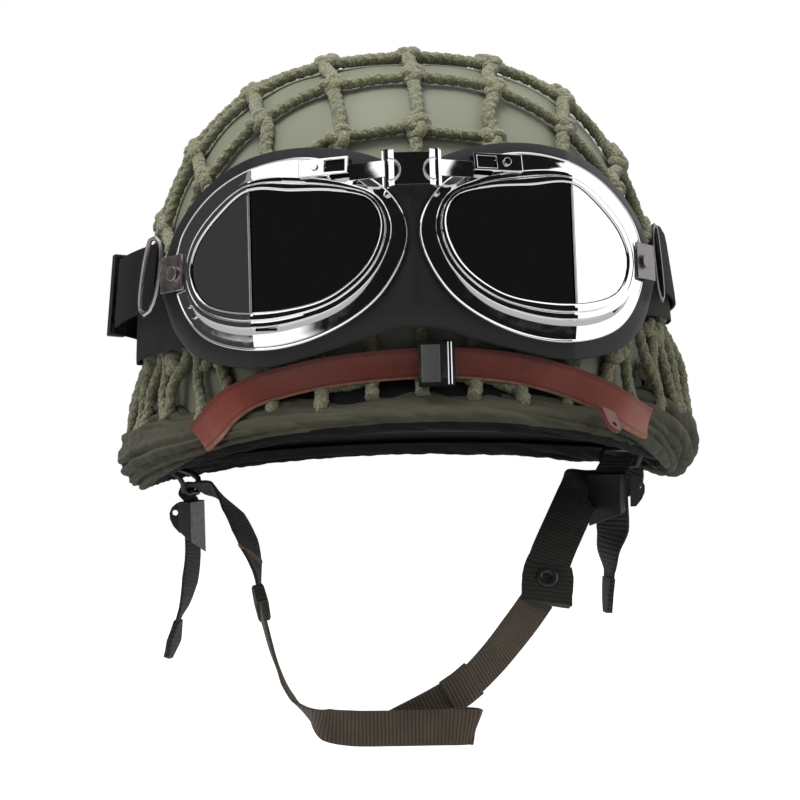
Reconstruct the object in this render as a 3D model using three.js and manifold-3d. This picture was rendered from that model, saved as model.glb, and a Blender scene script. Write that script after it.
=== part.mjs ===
// A steel infantry helmet with a knotted net cover, pilot goggles, a leather strap and a chin strap.
// Millimetres, +Z up, the front towards -Y. Shapes are worked out above the lowest point of the
// side rim, and the whole helmet is lowered at the end so that its origin is where it sits on a head.
import * as THREE from 'three';
import { mergeVertices } from 'three/addons/utils/BufferGeometryUtils.js';
import Module from 'manifold-3d';

const wasm = await Module();
wasm.setup();

// Driving sizes of the steel shell
const SHELL = {
  halfWidth: 112, frontReach: 122, rearReach: 128, height: 180,
  planPower: 2.1, domePower: 2.6, sideDomePower: 0.15,
  kneeHeight: 28, wall: 1.4,
  flare: { front: 22, side: 8.5, rear: 13 },
  rim: { front: 22, side: 0, rear: 7 },
};
const SIDES = 48;
const LINER = { gap: 3, wall: 2.5, sides: 32, endRow: 1.62 };
const CROWN_SEAT = SHELL.height - SHELL.wall - LINER.gap - LINER.wall;

const NET = {
  pitch: 35, rowShift: -8, cord: 2.6, lift: 3.5, knotHalf: 4, knotHigh: 3.2, knotLift: 4.05,
  hubMargin: 0.22, hemMargin: 0.22,
};
const HEM = { gap: 0.4, cloth: 2.4, insideRow: 1.86, bulge: 5.5, pleats: 26 };
const BAND = { width: 28, low: 55, sideSlope: 6, frontRise: 6, lift: 8.3, thick: 1.2 };
const ELASTIC = { thick: 1.6 };
const LEATHER = { thick: 1.4, layerStep: 1.85, inset: 0.5 };
const LEATHER_BUCKLE = { turn: 3.4, z: 44.2, lift: 12.6, width: 15, height: 17.6, deep: 7.36, bar: 0.8 };
const LEATHER_LOOP = {
  turn: 31.5, z: 18.94, lift: 10.6, length: 12.5, width: 7, thick: 2, hole: 1.2, tilt: 12,
};
const WEB = { upper: 19, lower: 16, thick: 1.5 };
const GAP = 0.3;

// Goggles: places are measured from the middle of the bridge, x outwards, z up
const GOGGLES = { y: -148, z: 90, lean: 8, creaseX: 64.5, frontDepth: 21, endX: 97, endDepth: 34 };
const FRAME_OUTLINE = [
  // x, z
  [1.8, 6], [7, 21], [22, 33.5], [42, 39.6], [64.5, 36], [82, 26.5], [95, 9],
  [96.8, -14], [86, -32.5], [64.5, -39.3], [38, -34.5], [13, -18],
];
const LENS_OUTLINE = [
  [12.4, 10.5], [16.5, 20.5], [30, 24.4], [48, 25.4], [64.5, 26.2], [76, 18], [86, 5.5],
  [88.8, -6], [84, -18], [70, -23.2], [50, -22.7], [33, -18], [18, -5.5],
];
// How far the frame's section stands in from its outer edge, and how high above its back
const FRAME_SECTION = [
  // share of the way from outer edge to lens, height
  [0, 0.2], [0, 1.8], [0.16, 2.6], [0.3, 1.9], [0.62, 2.2], [0.74, 4.2], [0.92, 4.4], [1, 3.1], [1, 0],
];
const FRAME_SIDES = 40;
const LENS_SIDES = 40;
const LENS = { thick: 1.8, back: 0.6, creaseGap: 0.35 };
const FINE_OUTLINE = 240;
const PAD = { lift: 10, roll: 3.5, rollPower: 4, tipFrom: 92, tipTo: 105, tipRoll: 2 };
const PAD_COLUMNS = [0, 6, 13, 21, 30, 40, 50, 58, 64.5, 71, 78, 85, 91, 96, 100.5, 104.5];
const PAD_ROWS = [0, 0.08, 0.28, 0.5, 0.72, 0.92, 1];
const WELL = { from: -30, to: 140, inset: 1.5, sides: 28 };
const BRIDGE = {
  plate: { width: 19.6, height: 13.2, thick: 1.5, y: -2.4, z: 32.3 },
  post: { x: 9.8, radius: 1.5, height: 15.4 },
  arm: { x: 17, y: -0.2, length: 16.8, height: 6.6, thick: 1.2, turn: 22 },
};
const CLIP = {
  x: 34, z: 34.3, above: 3.2, length: 21, height: 7.4, thick: 1.6, window: 8.4, windowHeight: 5,
};
const SCREW = { x: 37.5, radius: 1.7, high: 0.8 };
const BRACKET = { fromX: 92.2, toX: 101.6, z: -5.4, height: 15, thick: 1.2, above: 3 };
const BRACKET_LOOP = [
  // x, z along the plane of the side panel
  [101.2, 5], [102.6, 9.8], [105.6, 10.6], [111, -20.4], [108.4, -21.6], [104.8, -16.2],
];
const BRACKET_WIRE = 1.1;
const RIVET = { x: 95.6, radius: 3.3, high: 1.3 };
const SLIDER = {
  turn: -75.6, z: 79.2, lift: 19.15, width: 8, height: 36, deep: 7.4, slot: 5.4, slotHeight: 32,
};
const PAD_EDGE = [
  // x, top z, bottom z
  [0, 31, -31.5], [10, 37, -33], [24, 42, -37], [42, 44.3, -42], [60, 42.5, -46], [76, 36.5, -45],
  [90, 25, -40], [99, 12, -30], [104.5, -4, -14],
];

const radians = THREE.MathUtils.degToRad;
const at = (x, y, z) => new THREE.Vector3(x, y, z);
const mixRound = (theta, values) => {
  const share = Math.cos(theta) ** 2;
  const end = Math.cos(theta) > 0 ? values.front : values.rear;
  return values.side + (end - values.side) * share;
};

// Solids

function orient(points, faces) {
  let volume = 0;
  for (const [a, b, c] of faces) volume += points[a].dot(points[b].clone().cross(points[c]));
  return volume < 0 ? faces.map(([a, b, c]) => [a, c, b]) : faces;
}

function solid(points, faces) {
  const turned = orient(points, faces);
  const geometry = new THREE.BufferGeometry();
  geometry.setAttribute('position', new THREE.Float32BufferAttribute(points.flatMap((p) => p.toArray()), 3));
  geometry.setIndex(turned.flat());
  return geometry;
}

// Joins closed sections, each a loop of as many points; a ring joins its last section to its first
function loft(sections, ring = false) {
  const size = sections[0].length;
  const points = sections.flat().map((p) => p.clone());
  const faces = [];
  const last = ring ? sections.length : sections.length - 1;
  for (let i = 0; i < last; i += 1) {
    const next = (i + 1) % sections.length;
    for (let j = 0; j < size; j += 1) {
      const k = (j + 1) % size;
      faces.push([i * size + j, i * size + k, next * size + k]);
      faces.push([i * size + j, next * size + k, next * size + j]);
    }
  }
  if (!ring) {
    for (const end of [0, sections.length - 1]) {
      const centre = at(0, 0, 0);
      sections[end].forEach((p) => centre.addScaledVector(p, 1 / size));
      points.push(centre);
      for (let j = 0; j < size; j += 1) {
        const pair = [end * size + j, end * size + ((j + 1) % size)];
        if (end === 0) pair.reverse();
        faces.push([points.length - 1, ...pair]);
      }
    }
  }
  return solid(points, faces);
}

// Joins rings of as many points between two poles, outside from crown to rim and back up inside
function bowl(rings, outerPole, innerPole) {
  const size = rings[0].length;
  const points = [...rings.flat(), outerPole, innerPole];
  const faces = [];
  for (let i = 0; i < rings.length - 1; i += 1) {
    for (let j = 0; j < size; j += 1) {
      const k = (j + 1) % size;
      faces.push([i * size + j, (i + 1) * size + j, (i + 1) * size + k]);
      faces.push([i * size + j, (i + 1) * size + k, i * size + k]);
    }
  }
  const base = (rings.length - 1) * size;
  for (let j = 0; j < size; j += 1) {
    const k = (j + 1) % size;
    faces.push([points.length - 2, j, k], [points.length - 1, base + k, base + j]);
  }
  return solid(points, faces);
}

function toManifold(geometry) {
  const bare = geometry.clone();
  bare.deleteAttribute('normal');
  bare.deleteAttribute('uv');
  const merged = mergeVertices(bare, 1e-4);
  return new wasm.Manifold(new wasm.Mesh({
    numProp: 3,
    vertProperties: new Float32Array(merged.attributes.position.array),
    triVerts: new Uint32Array(merged.index.array),
  }));
}

function fromManifold(body) {
  const mesh = body.getMesh();
  const geometry = new THREE.BufferGeometry();
  geometry.setAttribute('position', new THREE.BufferAttribute(mesh.vertProperties, 3));
  geometry.setIndex(new THREE.BufferAttribute(mesh.triVerts, 1));
  return geometry;
}

const joined = (geometries) => fromManifold(geometries.map(toManifold).reduce((sum, next) => sum.add(next)));
const cutBy = (geometry, tools) => fromManifold(
  tools.map(toManifold).reduce((rest, tool) => rest.subtract(tool), toManifold(geometry)));

function block(width, depth, height, x = 0, y = 0, z = 0) {
  return new THREE.BoxGeometry(width, depth, height).translate(x, y, z);
}

// A round wire through a few places
function wire(places, radius, steps, sides = 8, closed = false) {
  const route = new THREE.CatmullRomCurve3(places, closed, 'centripetal');
  const section = new THREE.Shape().absarc(0, 0, radius, 0, Math.PI * 2);
  return new THREE.ExtrudeGeometry(section, {
    steps, curveSegments: sides, bevelEnabled: false, extrudePath: route,
  });
}

// A flat strap through stations that each name a middle and the way across
function ribbon(stations, width, thick, steps) {
  const middle = new THREE.CatmullRomCurve3(stations.map((s) => s.middle), false, 'centripetal');
  const sections = [];
  for (let i = 0; i <= steps; i += 1) {
    const share = i / steps;
    const along = middle.getTangent(share);
    const place = share * (stations.length - 1);
    const from = Math.min(Math.floor(place), stations.length - 2);
    const across = stations[from].across.clone().lerp(stations[from + 1].across, place - from);
    across.addScaledVector(along, -across.dot(along)).normalize();
    const out = across.clone().cross(along).normalize();
    const centre = middle.getPoint(share);
    sections.push([[-1, -1], [1, -1], [1, 1], [-1, 1]].map(([a, b]) => centre.clone()
      .addScaledVector(across, a * width / 2).addScaledVector(out, b * thick / 2)));
  }
  return loft(sections);
}

// The shell's own surface: theta is the turn from the front towards +X, and row runs from 0 at the
// crown to 1 at the knee, where the dome meets the flare, and to 2 at the rim

function planRadius(theta) {
  const reach = Math.cos(theta) > 0 ? SHELL.frontReach : SHELL.rearReach;
  const wide = Math.abs(Math.sin(theta) / SHELL.halfWidth) ** SHELL.planPower;
  const long = Math.abs(Math.cos(theta) / reach) ** SHELL.planPower;
  return (wide + long) ** (-1 / SHELL.planPower);
}

const domePower = (theta) => SHELL.domePower + SHELL.sideDomePower * Math.sin(theta) ** 2;
const rimHeight = (theta) => mixRound(theta, SHELL.rim);
const kneeHeight = (theta) => rimHeight(theta) + SHELL.kneeHeight;

function shellSection(theta, row) {
  const radius = planRadius(theta);
  const knee = kneeHeight(theta);
  if (row <= 1) {
    const turn = row * Math.PI / 2;
    const power = 2 / domePower(theta);
    const rise = Math.max(0, Math.cos(turn)) ** power;
    return [radius * Math.sin(turn) ** power, knee + (SHELL.height - knee) * rise];
  }
  const fall = row - 1;
  return [radius + mixRound(theta, SHELL.flare) * fall ** 2, knee - SHELL.kneeHeight * fall];
}

const polar = (theta, radius, z) => at(radius * Math.sin(theta), -radius * Math.cos(theta), z);

function shellPoint(theta, row, lift = 0) {
  const step = 1e-3;
  const point = polar(theta, ...shellSection(theta, row));
  if (lift === 0) return point;
  const down = polar(theta, ...shellSection(theta, Math.min(2, row + step)))
    .sub(polar(theta, ...shellSection(theta, Math.max(step / 10, row - step))));
  const side = polar(theta + step, ...shellSection(theta + step, row))
    .sub(polar(theta - step, ...shellSection(theta - step, row)));
  const normal = side.cross(down).normalize();
  if (normal.dot(at(point.x, point.y, point.z - SHELL.kneeHeight)) < 0) normal.negate();
  return point.addScaledVector(normal, lift);
}

function rowAtHeight(theta, z) {
  const knee = kneeHeight(theta);
  if (z < knee) return 1 + (knee - z) / SHELL.kneeHeight;
  return Math.acos(((z - knee) / (SHELL.height - knee)) ** (domePower(theta) / 2)) / (Math.PI / 2);
}

// A point at a turn and height, a stated distance out from the shell
function around(theta, z, lift) {
  const row = rowAtHeight(theta, z);
  const near = shellPoint(theta, Math.min(row, 2), 1).sub(shellPoint(theta, Math.min(row, 2)));
  const slope = Math.hypot(near.x, near.y);
  const [radius] = shellSection(theta, Math.min(row, 2));
  return polar(theta, radius + lift / slope, z);
}

const turns = (count) => Array.from({ length: count }, (_, i) => i / count * Math.PI * 2);

// Steel shell and liner

function bowlWall(rows, sides, outerLift, wall) {
  const ring = (row, lift) => turns(sides).map((theta) => shellPoint(theta, row, lift));
  const outside = rows.map((row) => ring(row, outerLift));
  const inside = [...rows].reverse().map((row) => ring(row, outerLift - wall));
  const pole = (lift) => at(0, 0, SHELL.height + lift);
  return bowl([...outside, ...inside], pole(outerLift), pole(outerLift - wall));
}

const steelShell = () => bowlWall([0.1, 0.25, 0.41, 0.57, 0.76, 1, 1.3, 1.55, 1.78, 2], SIDES, 0, SHELL.wall);
const liner = () => bowlWall([0.12, 0.28, 0.46, 0.66, 0.84, 1.05, 1.35, LINER.endRow], LINER.sides,
  -SHELL.wall - LINER.gap, LINER.wall);

// Net: a square mesh wrapped over the dome, measured along the surface from the crown

function rowAtLength(theta, length) {
  const steps = 90;
  let run = 0;
  let before = at(0, 0, SHELL.height);
  for (let i = 1; i <= steps * 2; i += 1) {
    const point = shellPoint(theta, i / steps);
    const step = point.distanceTo(before);
    if (run + step >= length) return (i - 1 + (length - run) / step) / steps;
    run += step;
    before = point;
  }
  return null;
}

function netPlace(x, y) {
  const length = Math.hypot(x, y);
  const theta = Math.atan2(x, -y);
  const row = rowAtLength(theta, length);
  if (row === null) return null;
  const centre = shellPoint(theta, row, NET.lift);
  return { theta, row, centre, out: shellPoint(theta, row, NET.lift + 1).sub(centre).normalize() };
}

// Corners of a square section across the way along, its side and then its height
const SECTION_CORNERS = [[1, -1], [-1, -1], [-1, 1], [1, 1]];

// The net as one solid: a square hub for each knot, joined by tapering arms of cord
function netCover() {
  const reach = 7;
  const points = [];
  const faces = [];
  const quad = (p, q, r, t) => faces.push([p, q, r], [p, r, t]);
  const tube = (from, to) => from.forEach((p, k) => quad(p, from[(k + 1) % 4], to[(k + 1) % 4], to[k]));
  const key = (i, j) => `${i},${j}`;
  const placeOf = (i, j) => netPlace(i * NET.pitch, j * NET.pitch + NET.rowShift);
  const hemRow = (place) => rowAtHeight(place.theta, hemTop(place.theta));
  const hubs = new Map();

  const section = (place, along) => {
    const side = along.clone().cross(place.out).normalize();
    return SECTION_CORNERS.map(([a, b]) => points.push(place.centre.clone()
      .addScaledVector(side, a * NET.cord).addScaledVector(place.out, b * NET.cord)) - 1);
  };

  for (let i = -reach; i <= reach; i += 1) {
    for (let j = -reach; j <= reach; j += 1) {
      const place = placeOf(i, j);
      if (place && place.row < hemRow(place) - NET.hubMargin) {
        const ahead = netPlace(i * NET.pitch + 1, j * NET.pitch + NET.rowShift).centre.sub(place.centre);
        const first = ahead.addScaledVector(place.out, -ahead.dot(place.out)).normalize();
        const second = place.out.clone().cross(first);
        const heart = place.centre.clone().addScaledVector(place.out, NET.knotLift - NET.lift);
        const corner = {};
        for (const a of [-1, 1]) {
          for (const b of [-1, 1]) {
            for (const c of [-1, 1]) {
              corner[[a, b, c]] = points.push(heart.clone().addScaledVector(first, a * NET.knotHalf)
                .addScaledVector(second, b * NET.knotHalf).addScaledVector(place.out, c * NET.knotHigh)) - 1;
            }
          }
        }
        hubs.set(key(i, j), { i, j, corner });
        quad(corner[[-1, -1, 1]], corner[[1, -1, 1]], corner[[1, 1, 1]], corner[[-1, 1, 1]]);
        quad(corner[[-1, 1, -1]], corner[[1, 1, -1]], corner[[1, -1, -1]], corner[[-1, -1, -1]]);
      }
    }
  }

  // The face of a hub that an arm along the first or second way leaves by
  const hubFace = (hub, way, end) => SECTION_CORNERS.map(([a, b]) => (
    way === 0 ? hub.corner[[end, -a, b]] : hub.corner[[a, end, b]]));
  const cap = (loop, end) => (end > 0 ? quad(...loop) : quad(...[...loop].reverse()));

  for (const hub of hubs.values()) {
    for (const [way, di, dj] of [[0, 1, 0], [1, 0, 1]]) {
      const shareOf = (share) => placeOf(hub.i + di * share, hub.j + dj * share);
      const alongAt = (share) => shareOf(share + 0.02).centre.sub(shareOf(share - 0.02).centre).normalize();
      const next = hubs.get(key(hub.i + di, hub.j + dj));
      if (next) {
        const middle = section(shareOf(0.5), alongAt(0.5));
        tube(hubFace(hub, way, 1), middle);
        tube(middle, hubFace(next, way, -1));
      }
      const open = next ? [] : [1];
      if (!hubs.has(key(hub.i - di, hub.j - dj))) open.push(-1);
      for (const end of open) {
        let share = 0.2;
        const under = (s) => {
          const place = shareOf(end * s);
          return !place || place.row > hemRow(place) - NET.hemMargin;
        };
        while (share < 1.6 && !under(share)) share += 0.05;
        const tip = section(shareOf(end * (share - 0.05)), alongAt(end * (share - 0.08)));
        const face = hubFace(hub, way, end);
        if (end > 0) tube(face, tip);
        else tube(tip, face);
        cap(tip, end);
      }
    }
  }
  return solid(points, faces);
}

// Hem: cloth folded over the rim, thin in front and bunched thick at the sides

const hemTop = (theta) => rimHeight(theta) + mixRound(theta, { front: 9, side: 20, rear: 14 });
const hemThick = (theta) => mixRound(theta, { front: HEM.cloth, side: 7.5, rear: 4 })
  + Math.sin(theta) ** 2 * 1.4 * Math.sin(HEM.pleats * theta);
const hemDrop = (theta) => mixRound(theta, { front: 2.4, side: 4.6, rear: 3.2 });

function hemSection(theta) {
  const top = rowAtHeight(theta, hemTop(theta));
  const middle = (top + 2) / 2;
  const thick = hemThick(theta);
  const bulge = HEM.bulge * Math.sin(theta) ** 4;
  const inside = -SHELL.wall - HEM.gap;
  const drop = (point, by) => point.add(at(0, 0, -by));
  const bottom = hemDrop(theta);
  return [
    shellPoint(theta, top, HEM.gap + thick * 0.6),
    shellPoint(theta, middle, HEM.gap + thick + bulge),
    shellPoint(theta, 2, HEM.gap + thick * 0.9 + bulge * 0.4),
    drop(shellPoint(theta, 2, HEM.gap + thick * 0.5), bottom),
    drop(shellPoint(theta, 2, inside), bottom),
    drop(shellPoint(theta, 2, inside - HEM.cloth), bottom * 0.3),
    shellPoint(theta, HEM.insideRow, inside - HEM.cloth),
    shellPoint(theta, HEM.insideRow, inside),
    drop(shellPoint(theta, 2, inside), HEM.gap),
    drop(shellPoint(theta, 2, HEM.gap), HEM.gap),
    shellPoint(theta, middle, HEM.gap),
    shellPoint(theta, top, HEM.gap),
  ];
}

const hemBand = () => loft(turns(SIDES).map(hemSection), true);

// Straps that lie on the net

function wrap(stations, thick, steps) {
  const names = ['turn', 'low', 'high', 'lift'];
  const curve = (name) => new THREE.CatmullRomCurve3(
    stations.map((s, i) => at(i, s[names.indexOf(name)], 0)));
  const curves = names.map(curve);
  const sections = [];
  for (let i = 0; i <= steps; i += 1) {
    const [turn, low, high, lift] = curves.map((c) => c.getPoint(i / steps).y);
    const theta = radians(turn);
    sections.push([around(theta, low, lift), around(theta, high, lift),
      around(theta, high, lift + thick), around(theta, low, lift + thick)]);
  }
  return loft(sections);
}

// Sets a piece on the surface: its x runs round the helmet, its z up the surface and its y inwards
function seated(piece, turn, z, lift, tilt = 0) {
  const reach = 8;
  const theta = radians(turn);
  const up = around(theta, z + reach, lift).sub(around(theta, z - reach, lift)).normalize();
  const beside = around(theta + 0.05, z, lift).sub(around(theta - 0.05, z, lift));
  beside.addScaledVector(up, -beside.dot(up)).normalize();
  const inwards = up.clone().cross(beside);
  const matrix = new THREE.Matrix4().makeBasis(beside, inwards, up).setPosition(around(theta, z, lift));
  return piece.rotateY(radians(tilt)).applyMatrix4(matrix);
}

function helmetBand() {
  return loft(turns(SIDES).map((theta) => {
    const low = BAND.low + BAND.sideSlope * Math.sin(theta) + BAND.frontRise * Math.max(0, Math.cos(theta));
    return [around(theta, low, BAND.lift), around(theta, low + BAND.width, BAND.lift),
      around(theta, low + BAND.width, BAND.lift + BAND.thick), around(theta, low, BAND.lift + BAND.thick)];
  }), true);
}

// Elastic strap from the right bracket round the back to the slider at the left
const ELASTIC_ROUTE = [
  // turn, low, high, lift
  [54.4, 73, 102, 16.8], [62, 72, 102, 13.6], [70, 71, 101, 11.2], [82, 69, 99, 10.6], [100, 66, 96, 10.6],
  [120, 62, 92, 10.6], [150, 59, 89, 10.6], [180, 58, 88, 10.6], [210, 58, 88, 10.6], [240, 59, 89, 10.6],
  [260, 61, 91, 10.7], [269, 62.5, 92.5, 14.4], [277, 64, 94, 17.2], [287, 64, 94, 17.2],
];
// Front left piece of the elastic, from the slider to the left bracket
const ELASTIC_FRONT = [
  // turn, low, high, lift
  [-77.5, 64, 94, 19.4], [-70, 66, 95.5, 19.6], [-62, 69, 97.5, 18.4], [-54.4, 71.5, 99.5, 16.8],
];
const LEATHER_ROUTE = [
  // turn, low, high, lift
  [-40, 12.5, 25, 9.6], [-36.5, 17, 30.5, 9.6], [-30, 26, 39, 9.4], [-22, 30.5, 43.5, 9.2],
  [-12, 35, 48, 9.2],
  [0, 38, 51, 9.2], [12, 37.5, 50.5, 9.2], [22, 33.5, 46, 9.2], [30, 27, 40.5, 9.4], [36.5, 18, 31.5, 9.6],
  [41, 11.5, 24.5, 9.6],
];
const LEATHER_STEPS = 30;

const leatherLayer = (lift, inset) => wrap(LEATHER_ROUTE.map(([turn, low, high, out]) => [
  turn, low + inset, high - inset, out + lift]), LEATHER.thick, LEATHER_STEPS);

// A small frame round the two layers of leather
function leatherBuckle() {
  const { turn, z, lift, width, height, deep, bar } = LEATHER_BUCKLE;
  const frame = cutBy(block(width, deep, height), [block(width + 4, deep - 2 * bar, height - 2 * bar)]);
  return seated(frame, turn, z, lift);
}

// The folded end of the leather below the strap at the right
function leatherLoop() {
  const { turn, z, lift, length, width, thick, hole, tilt } = LEATHER_LOOP;
  const outline = new THREE.Shape();
  outline.moveTo(-width / 2, length / 2).lineTo(width / 2, length / 2)
    .lineTo(width / 2, -length / 2 + width / 2);
  outline.absarc(0, -length / 2 + width / 2, width / 2, 0, -Math.PI, true);
  outline.closePath();
  outline.holes.push(new THREE.Path().absarc(0, -length / 2 + width / 2, hole, 0, Math.PI * 2));
  const piece = new THREE.ExtrudeGeometry(outline, { depth: thick, curveSegments: 6, bevelEnabled: false });
  return seated(piece.translate(0, 0, -thick / 2).rotateX(Math.PI / 2), turn, z, lift, tilt);
}

// Goggles, in a frame of their own that leans back on the dome

const leanBack = new THREE.Euler(radians(-GOGGLES.lean), 0, 0);
const bridgeAt = at(0, GOGGLES.y, GOGGLES.z);
const fromGoggles = (p) => p.clone().applyEuler(leanBack).add(bridgeAt);

// The two flat panels of a frame meet at a crease; side is -1 for the left one and 1 for the right one
function panelPoint(x, z, height, side = 1) {
  const { creaseX, frontDepth, endX, endDepth } = GOGGLES;
  const inFront = at(frontDepth, -creaseX, 0).normalize();
  const aside = at(endDepth, creaseX - endX, 0).normalize();
  const lean = Math.sign(x - creaseX);
  const mitre = inFront.clone().add(aside).normalize();
  mitre.divideScalar(mitre.dot(inFront));
  const out = Math.abs(x - creaseX) < 1e-6 ? mitre : (lean < 0 ? inFront : aside);
  const y = lean < 0 ? x * frontDepth / creaseX : frontDepth + (x - creaseX) * endDepth / (endX - creaseX);
  return at(side * (x + out.x * height), y + out.y * height, z + y * Math.tan(radians(GOGGLES.lean)));
}

// The distance from the crease to a smooth outline, looking out at an angle
function reachOf(outline) {
  const curve = new THREE.CatmullRomCurve3(outline.map(([x, z]) => at(x - GOGGLES.creaseX, z, 0)), true);
  const fine = curve.getPoints(FINE_OUTLINE);
  return (angle) => {
    const way = at(Math.cos(angle), Math.sin(angle), 0);
    for (let i = 0; i < FINE_OUTLINE; i += 1) {
      const a = fine[i];
      const edge = fine[i + 1].clone().sub(a);
      const cross = way.x * edge.y - way.y * edge.x;
      const reach = (a.x * edge.y - a.y * edge.x) / cross;
      const share = (a.x * way.y - a.y * way.x) / cross;
      if (reach > 0 && share >= 0 && share < 1) return reach;
    }
    return 0;
  };
}

const frameReach = reachOf(FRAME_OUTLINE);
const lensReach = reachOf(LENS_OUTLINE);
const outlinePoint = (angle, reach, height, side) => panelPoint(
  GOGGLES.creaseX + Math.round(Math.cos(angle) * 1e9) / 1e9 * reach, Math.sin(angle) * reach, height, side);

function goggleFrame(side) {
  return loft(turns(FRAME_SIDES).map((angle) => FRAME_SECTION.map(([share, height]) => {
    const outer = frameReach(angle);
    return outlinePoint(angle, outer + (lensReach(angle) - outer) * share, height, side);
  })), true);
}

// One flat pane: the part of the lens opening on one side of the crease
function lensPane(side, beyondCrease) {
  const { thick, back, creaseGap } = LENS;
  const half = LENS_SIDES / 2;
  const start = beyondCrease ? -Math.PI / 2 : Math.PI / 2;
  const shift = beyondCrease ? creaseGap : -creaseGap;
  const loop = (height) => Array.from({ length: half + 1 }, (_, i) => {
    const angle = start + i / half * Math.PI;
    const reach = lensReach(angle) - GAP;
    const bare = GOGGLES.creaseX + Math.cos(angle) * reach;
    const crease = GOGGLES.creaseX + shift;
    const x = beyondCrease ? Math.max(bare, crease) : Math.min(bare, crease);
    return panelPoint(x, Math.sin(angle) * reach, height, side);
  });
  return loft([loop(back), loop(back + thick)]);
}

const leanMatrix = new THREE.Matrix4().compose(
  bridgeAt, new THREE.Quaternion().setFromEuler(leanBack), at(1, 1, 1));

// The padded mask behind both frames, with an open well behind each lens
function padEdges(x) {
  const after = Math.max(1, PAD_EDGE.findIndex((row) => row[0] >= x));
  const [x0, top0, low0] = PAD_EDGE[after - 1];
  const [x1, top1, low1] = PAD_EDGE[after];
  const share = (x - x0) / (x1 - x0);
  return [top0 + (top1 - top0) * share, low0 + (low1 - low0) * share];
}

// The y at which a level line through x and z meets the surface a stated distance out from the dome
function domeFront(x, z, lift) {
  let [near, far] = [-200, 0];
  for (let k = 0; k < 26; k += 1) {
    const y = (near + far) / 2;
    const limit = around(Math.atan2(x, -y), z, lift);
    if (Math.hypot(x, y) > Math.hypot(limit.x, limit.y)) near = y;
    else far = y;
  }
  return near;
}

function gogglePad() {
  const xs = [...PAD_COLUMNS.slice(1).map((x) => -x).reverse(), ...PAD_COLUMNS];
  const sections = xs.map((x) => {
    const out = Math.abs(x);
    const [top, low] = padEdges(out);
    const tip = THREE.MathUtils.smoothstep(out, PAD.tipFrom, PAD.tipTo) * PAD.tipRoll;
    const front = PAD_ROWS.map((share) => {
      const roll = Math.abs(share * 2 - 1) ** PAD.rollPower * PAD.roll;
      const point = fromGoggles(panelPoint(out, low + (top - low) * share, 0));
      return at(x, point.y + GAP + roll + tip, point.z);
    });
    return [...front, ...[...front].reverse().map((p) => at(x, domeFront(x, p.z, PAD.lift), p.z))];
  });
  const depths = [WELL.from, WELL.to];
  const wells = [-1, 1].map((side) => loft(depths.map((depth) => turns(WELL.sides).map((angle) => (
    outlinePoint(angle, lensReach(angle) - WELL.inset, 0, side).setY(depth))))).applyMatrix4(leanMatrix));
  return cutBy(loft(sections), wells);
}

// Bridge: a plate between two posts, with a bar out to a clip on each frame
function bridgeBar() {
  const { plate, post, arm } = BRIDGE;
  const pieces = [block(plate.width, plate.thick, plate.height, 0, plate.y, plate.z)];
  for (const side of [-1, 1]) {
    pieces.push(new THREE.CylinderGeometry(post.radius, post.radius, post.height, 10).rotateX(Math.PI / 2)
      .translate(side * post.x, plate.y, plate.z));
    pieces.push(block(arm.length, arm.thick, arm.height).rotateZ(side * radians(arm.turn))
      .translate(side * arm.x, arm.y, plate.z));
  }
  return joined(pieces);
}

// A piece laid on a frame's front or side panel: its own x runs along the panel and its y points in
function onPanel(piece, x, z, above, side) {
  const beside = panelPoint(x + 0.5, z, above, side).sub(panelPoint(x - 0.5, z, above, side));
  const turn = Math.atan2(beside.y * side, beside.x * side);
  return piece.rotateZ(turn).translate(...panelPoint(x, z, above, side).toArray());
}

function bridgeClip(side) {
  const windowX = -side * (CLIP.length - CLIP.window - 3) / 2;
  const window = block(CLIP.window, CLIP.thick + 2, CLIP.windowHeight, windowX);
  const plate = cutBy(block(CLIP.length, CLIP.thick, CLIP.height), [window]);
  return onPanel(plate, CLIP.x, CLIP.z, CLIP.above + CLIP.thick / 2, side);
}

const bridgeScrew = (side) => onPanel(new THREE.CylinderGeometry(SCREW.radius, SCREW.radius, SCREW.high, 10),
  SCREW.x, CLIP.z, CLIP.above + CLIP.thick + GAP + SCREW.high / 2, side);

// Bracket: a plate riveted on the side panel, with a wire loop for the elastic
function strapBracket(side) {
  const middle = (BRACKET.fromX + BRACKET.toX) / 2;
  const run = panelPoint(BRACKET.toX, 0, 0).distanceTo(panelPoint(BRACKET.fromX, 0, 0));
  const plate = onPanel(block(run, BRACKET.thick, BRACKET.height), middle, BRACKET.z,
    BRACKET.above + BRACKET.thick / 2, side);
  const loop = BRACKET_LOOP.map(([x, z]) => panelPoint(x, z, BRACKET.above + BRACKET.thick / 2, side));
  return joined([plate, wire(loop, BRACKET_WIRE, 20, 3, true)]);
}

const bracketRivet = (side) => onPanel(
  new THREE.CylinderGeometry(RIVET.radius * 0.8, RIVET.radius, RIVET.high, 14), RIVET.x, BRACKET.z,
  BRACKET.above + BRACKET.thick + GAP + RIVET.high / 2, side);

function goggleSlider() {
  const { turn, z, lift, width, height, deep, slot, slotHeight } = SLIDER;
  const frame = cutBy(block(width, deep, height), [block(width + 2, slot, slotHeight)]);
  return seated(frame, turn, z, lift);
}

// Chin strap: places are x, y, z of the middle and then the way across

const BAIL = { halfLength: 13, lugX: 111.8, lugZ: 4, wire: 1.4, lugHigh: 6, lugThick: 2.6, rise: 5.4 };
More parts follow.
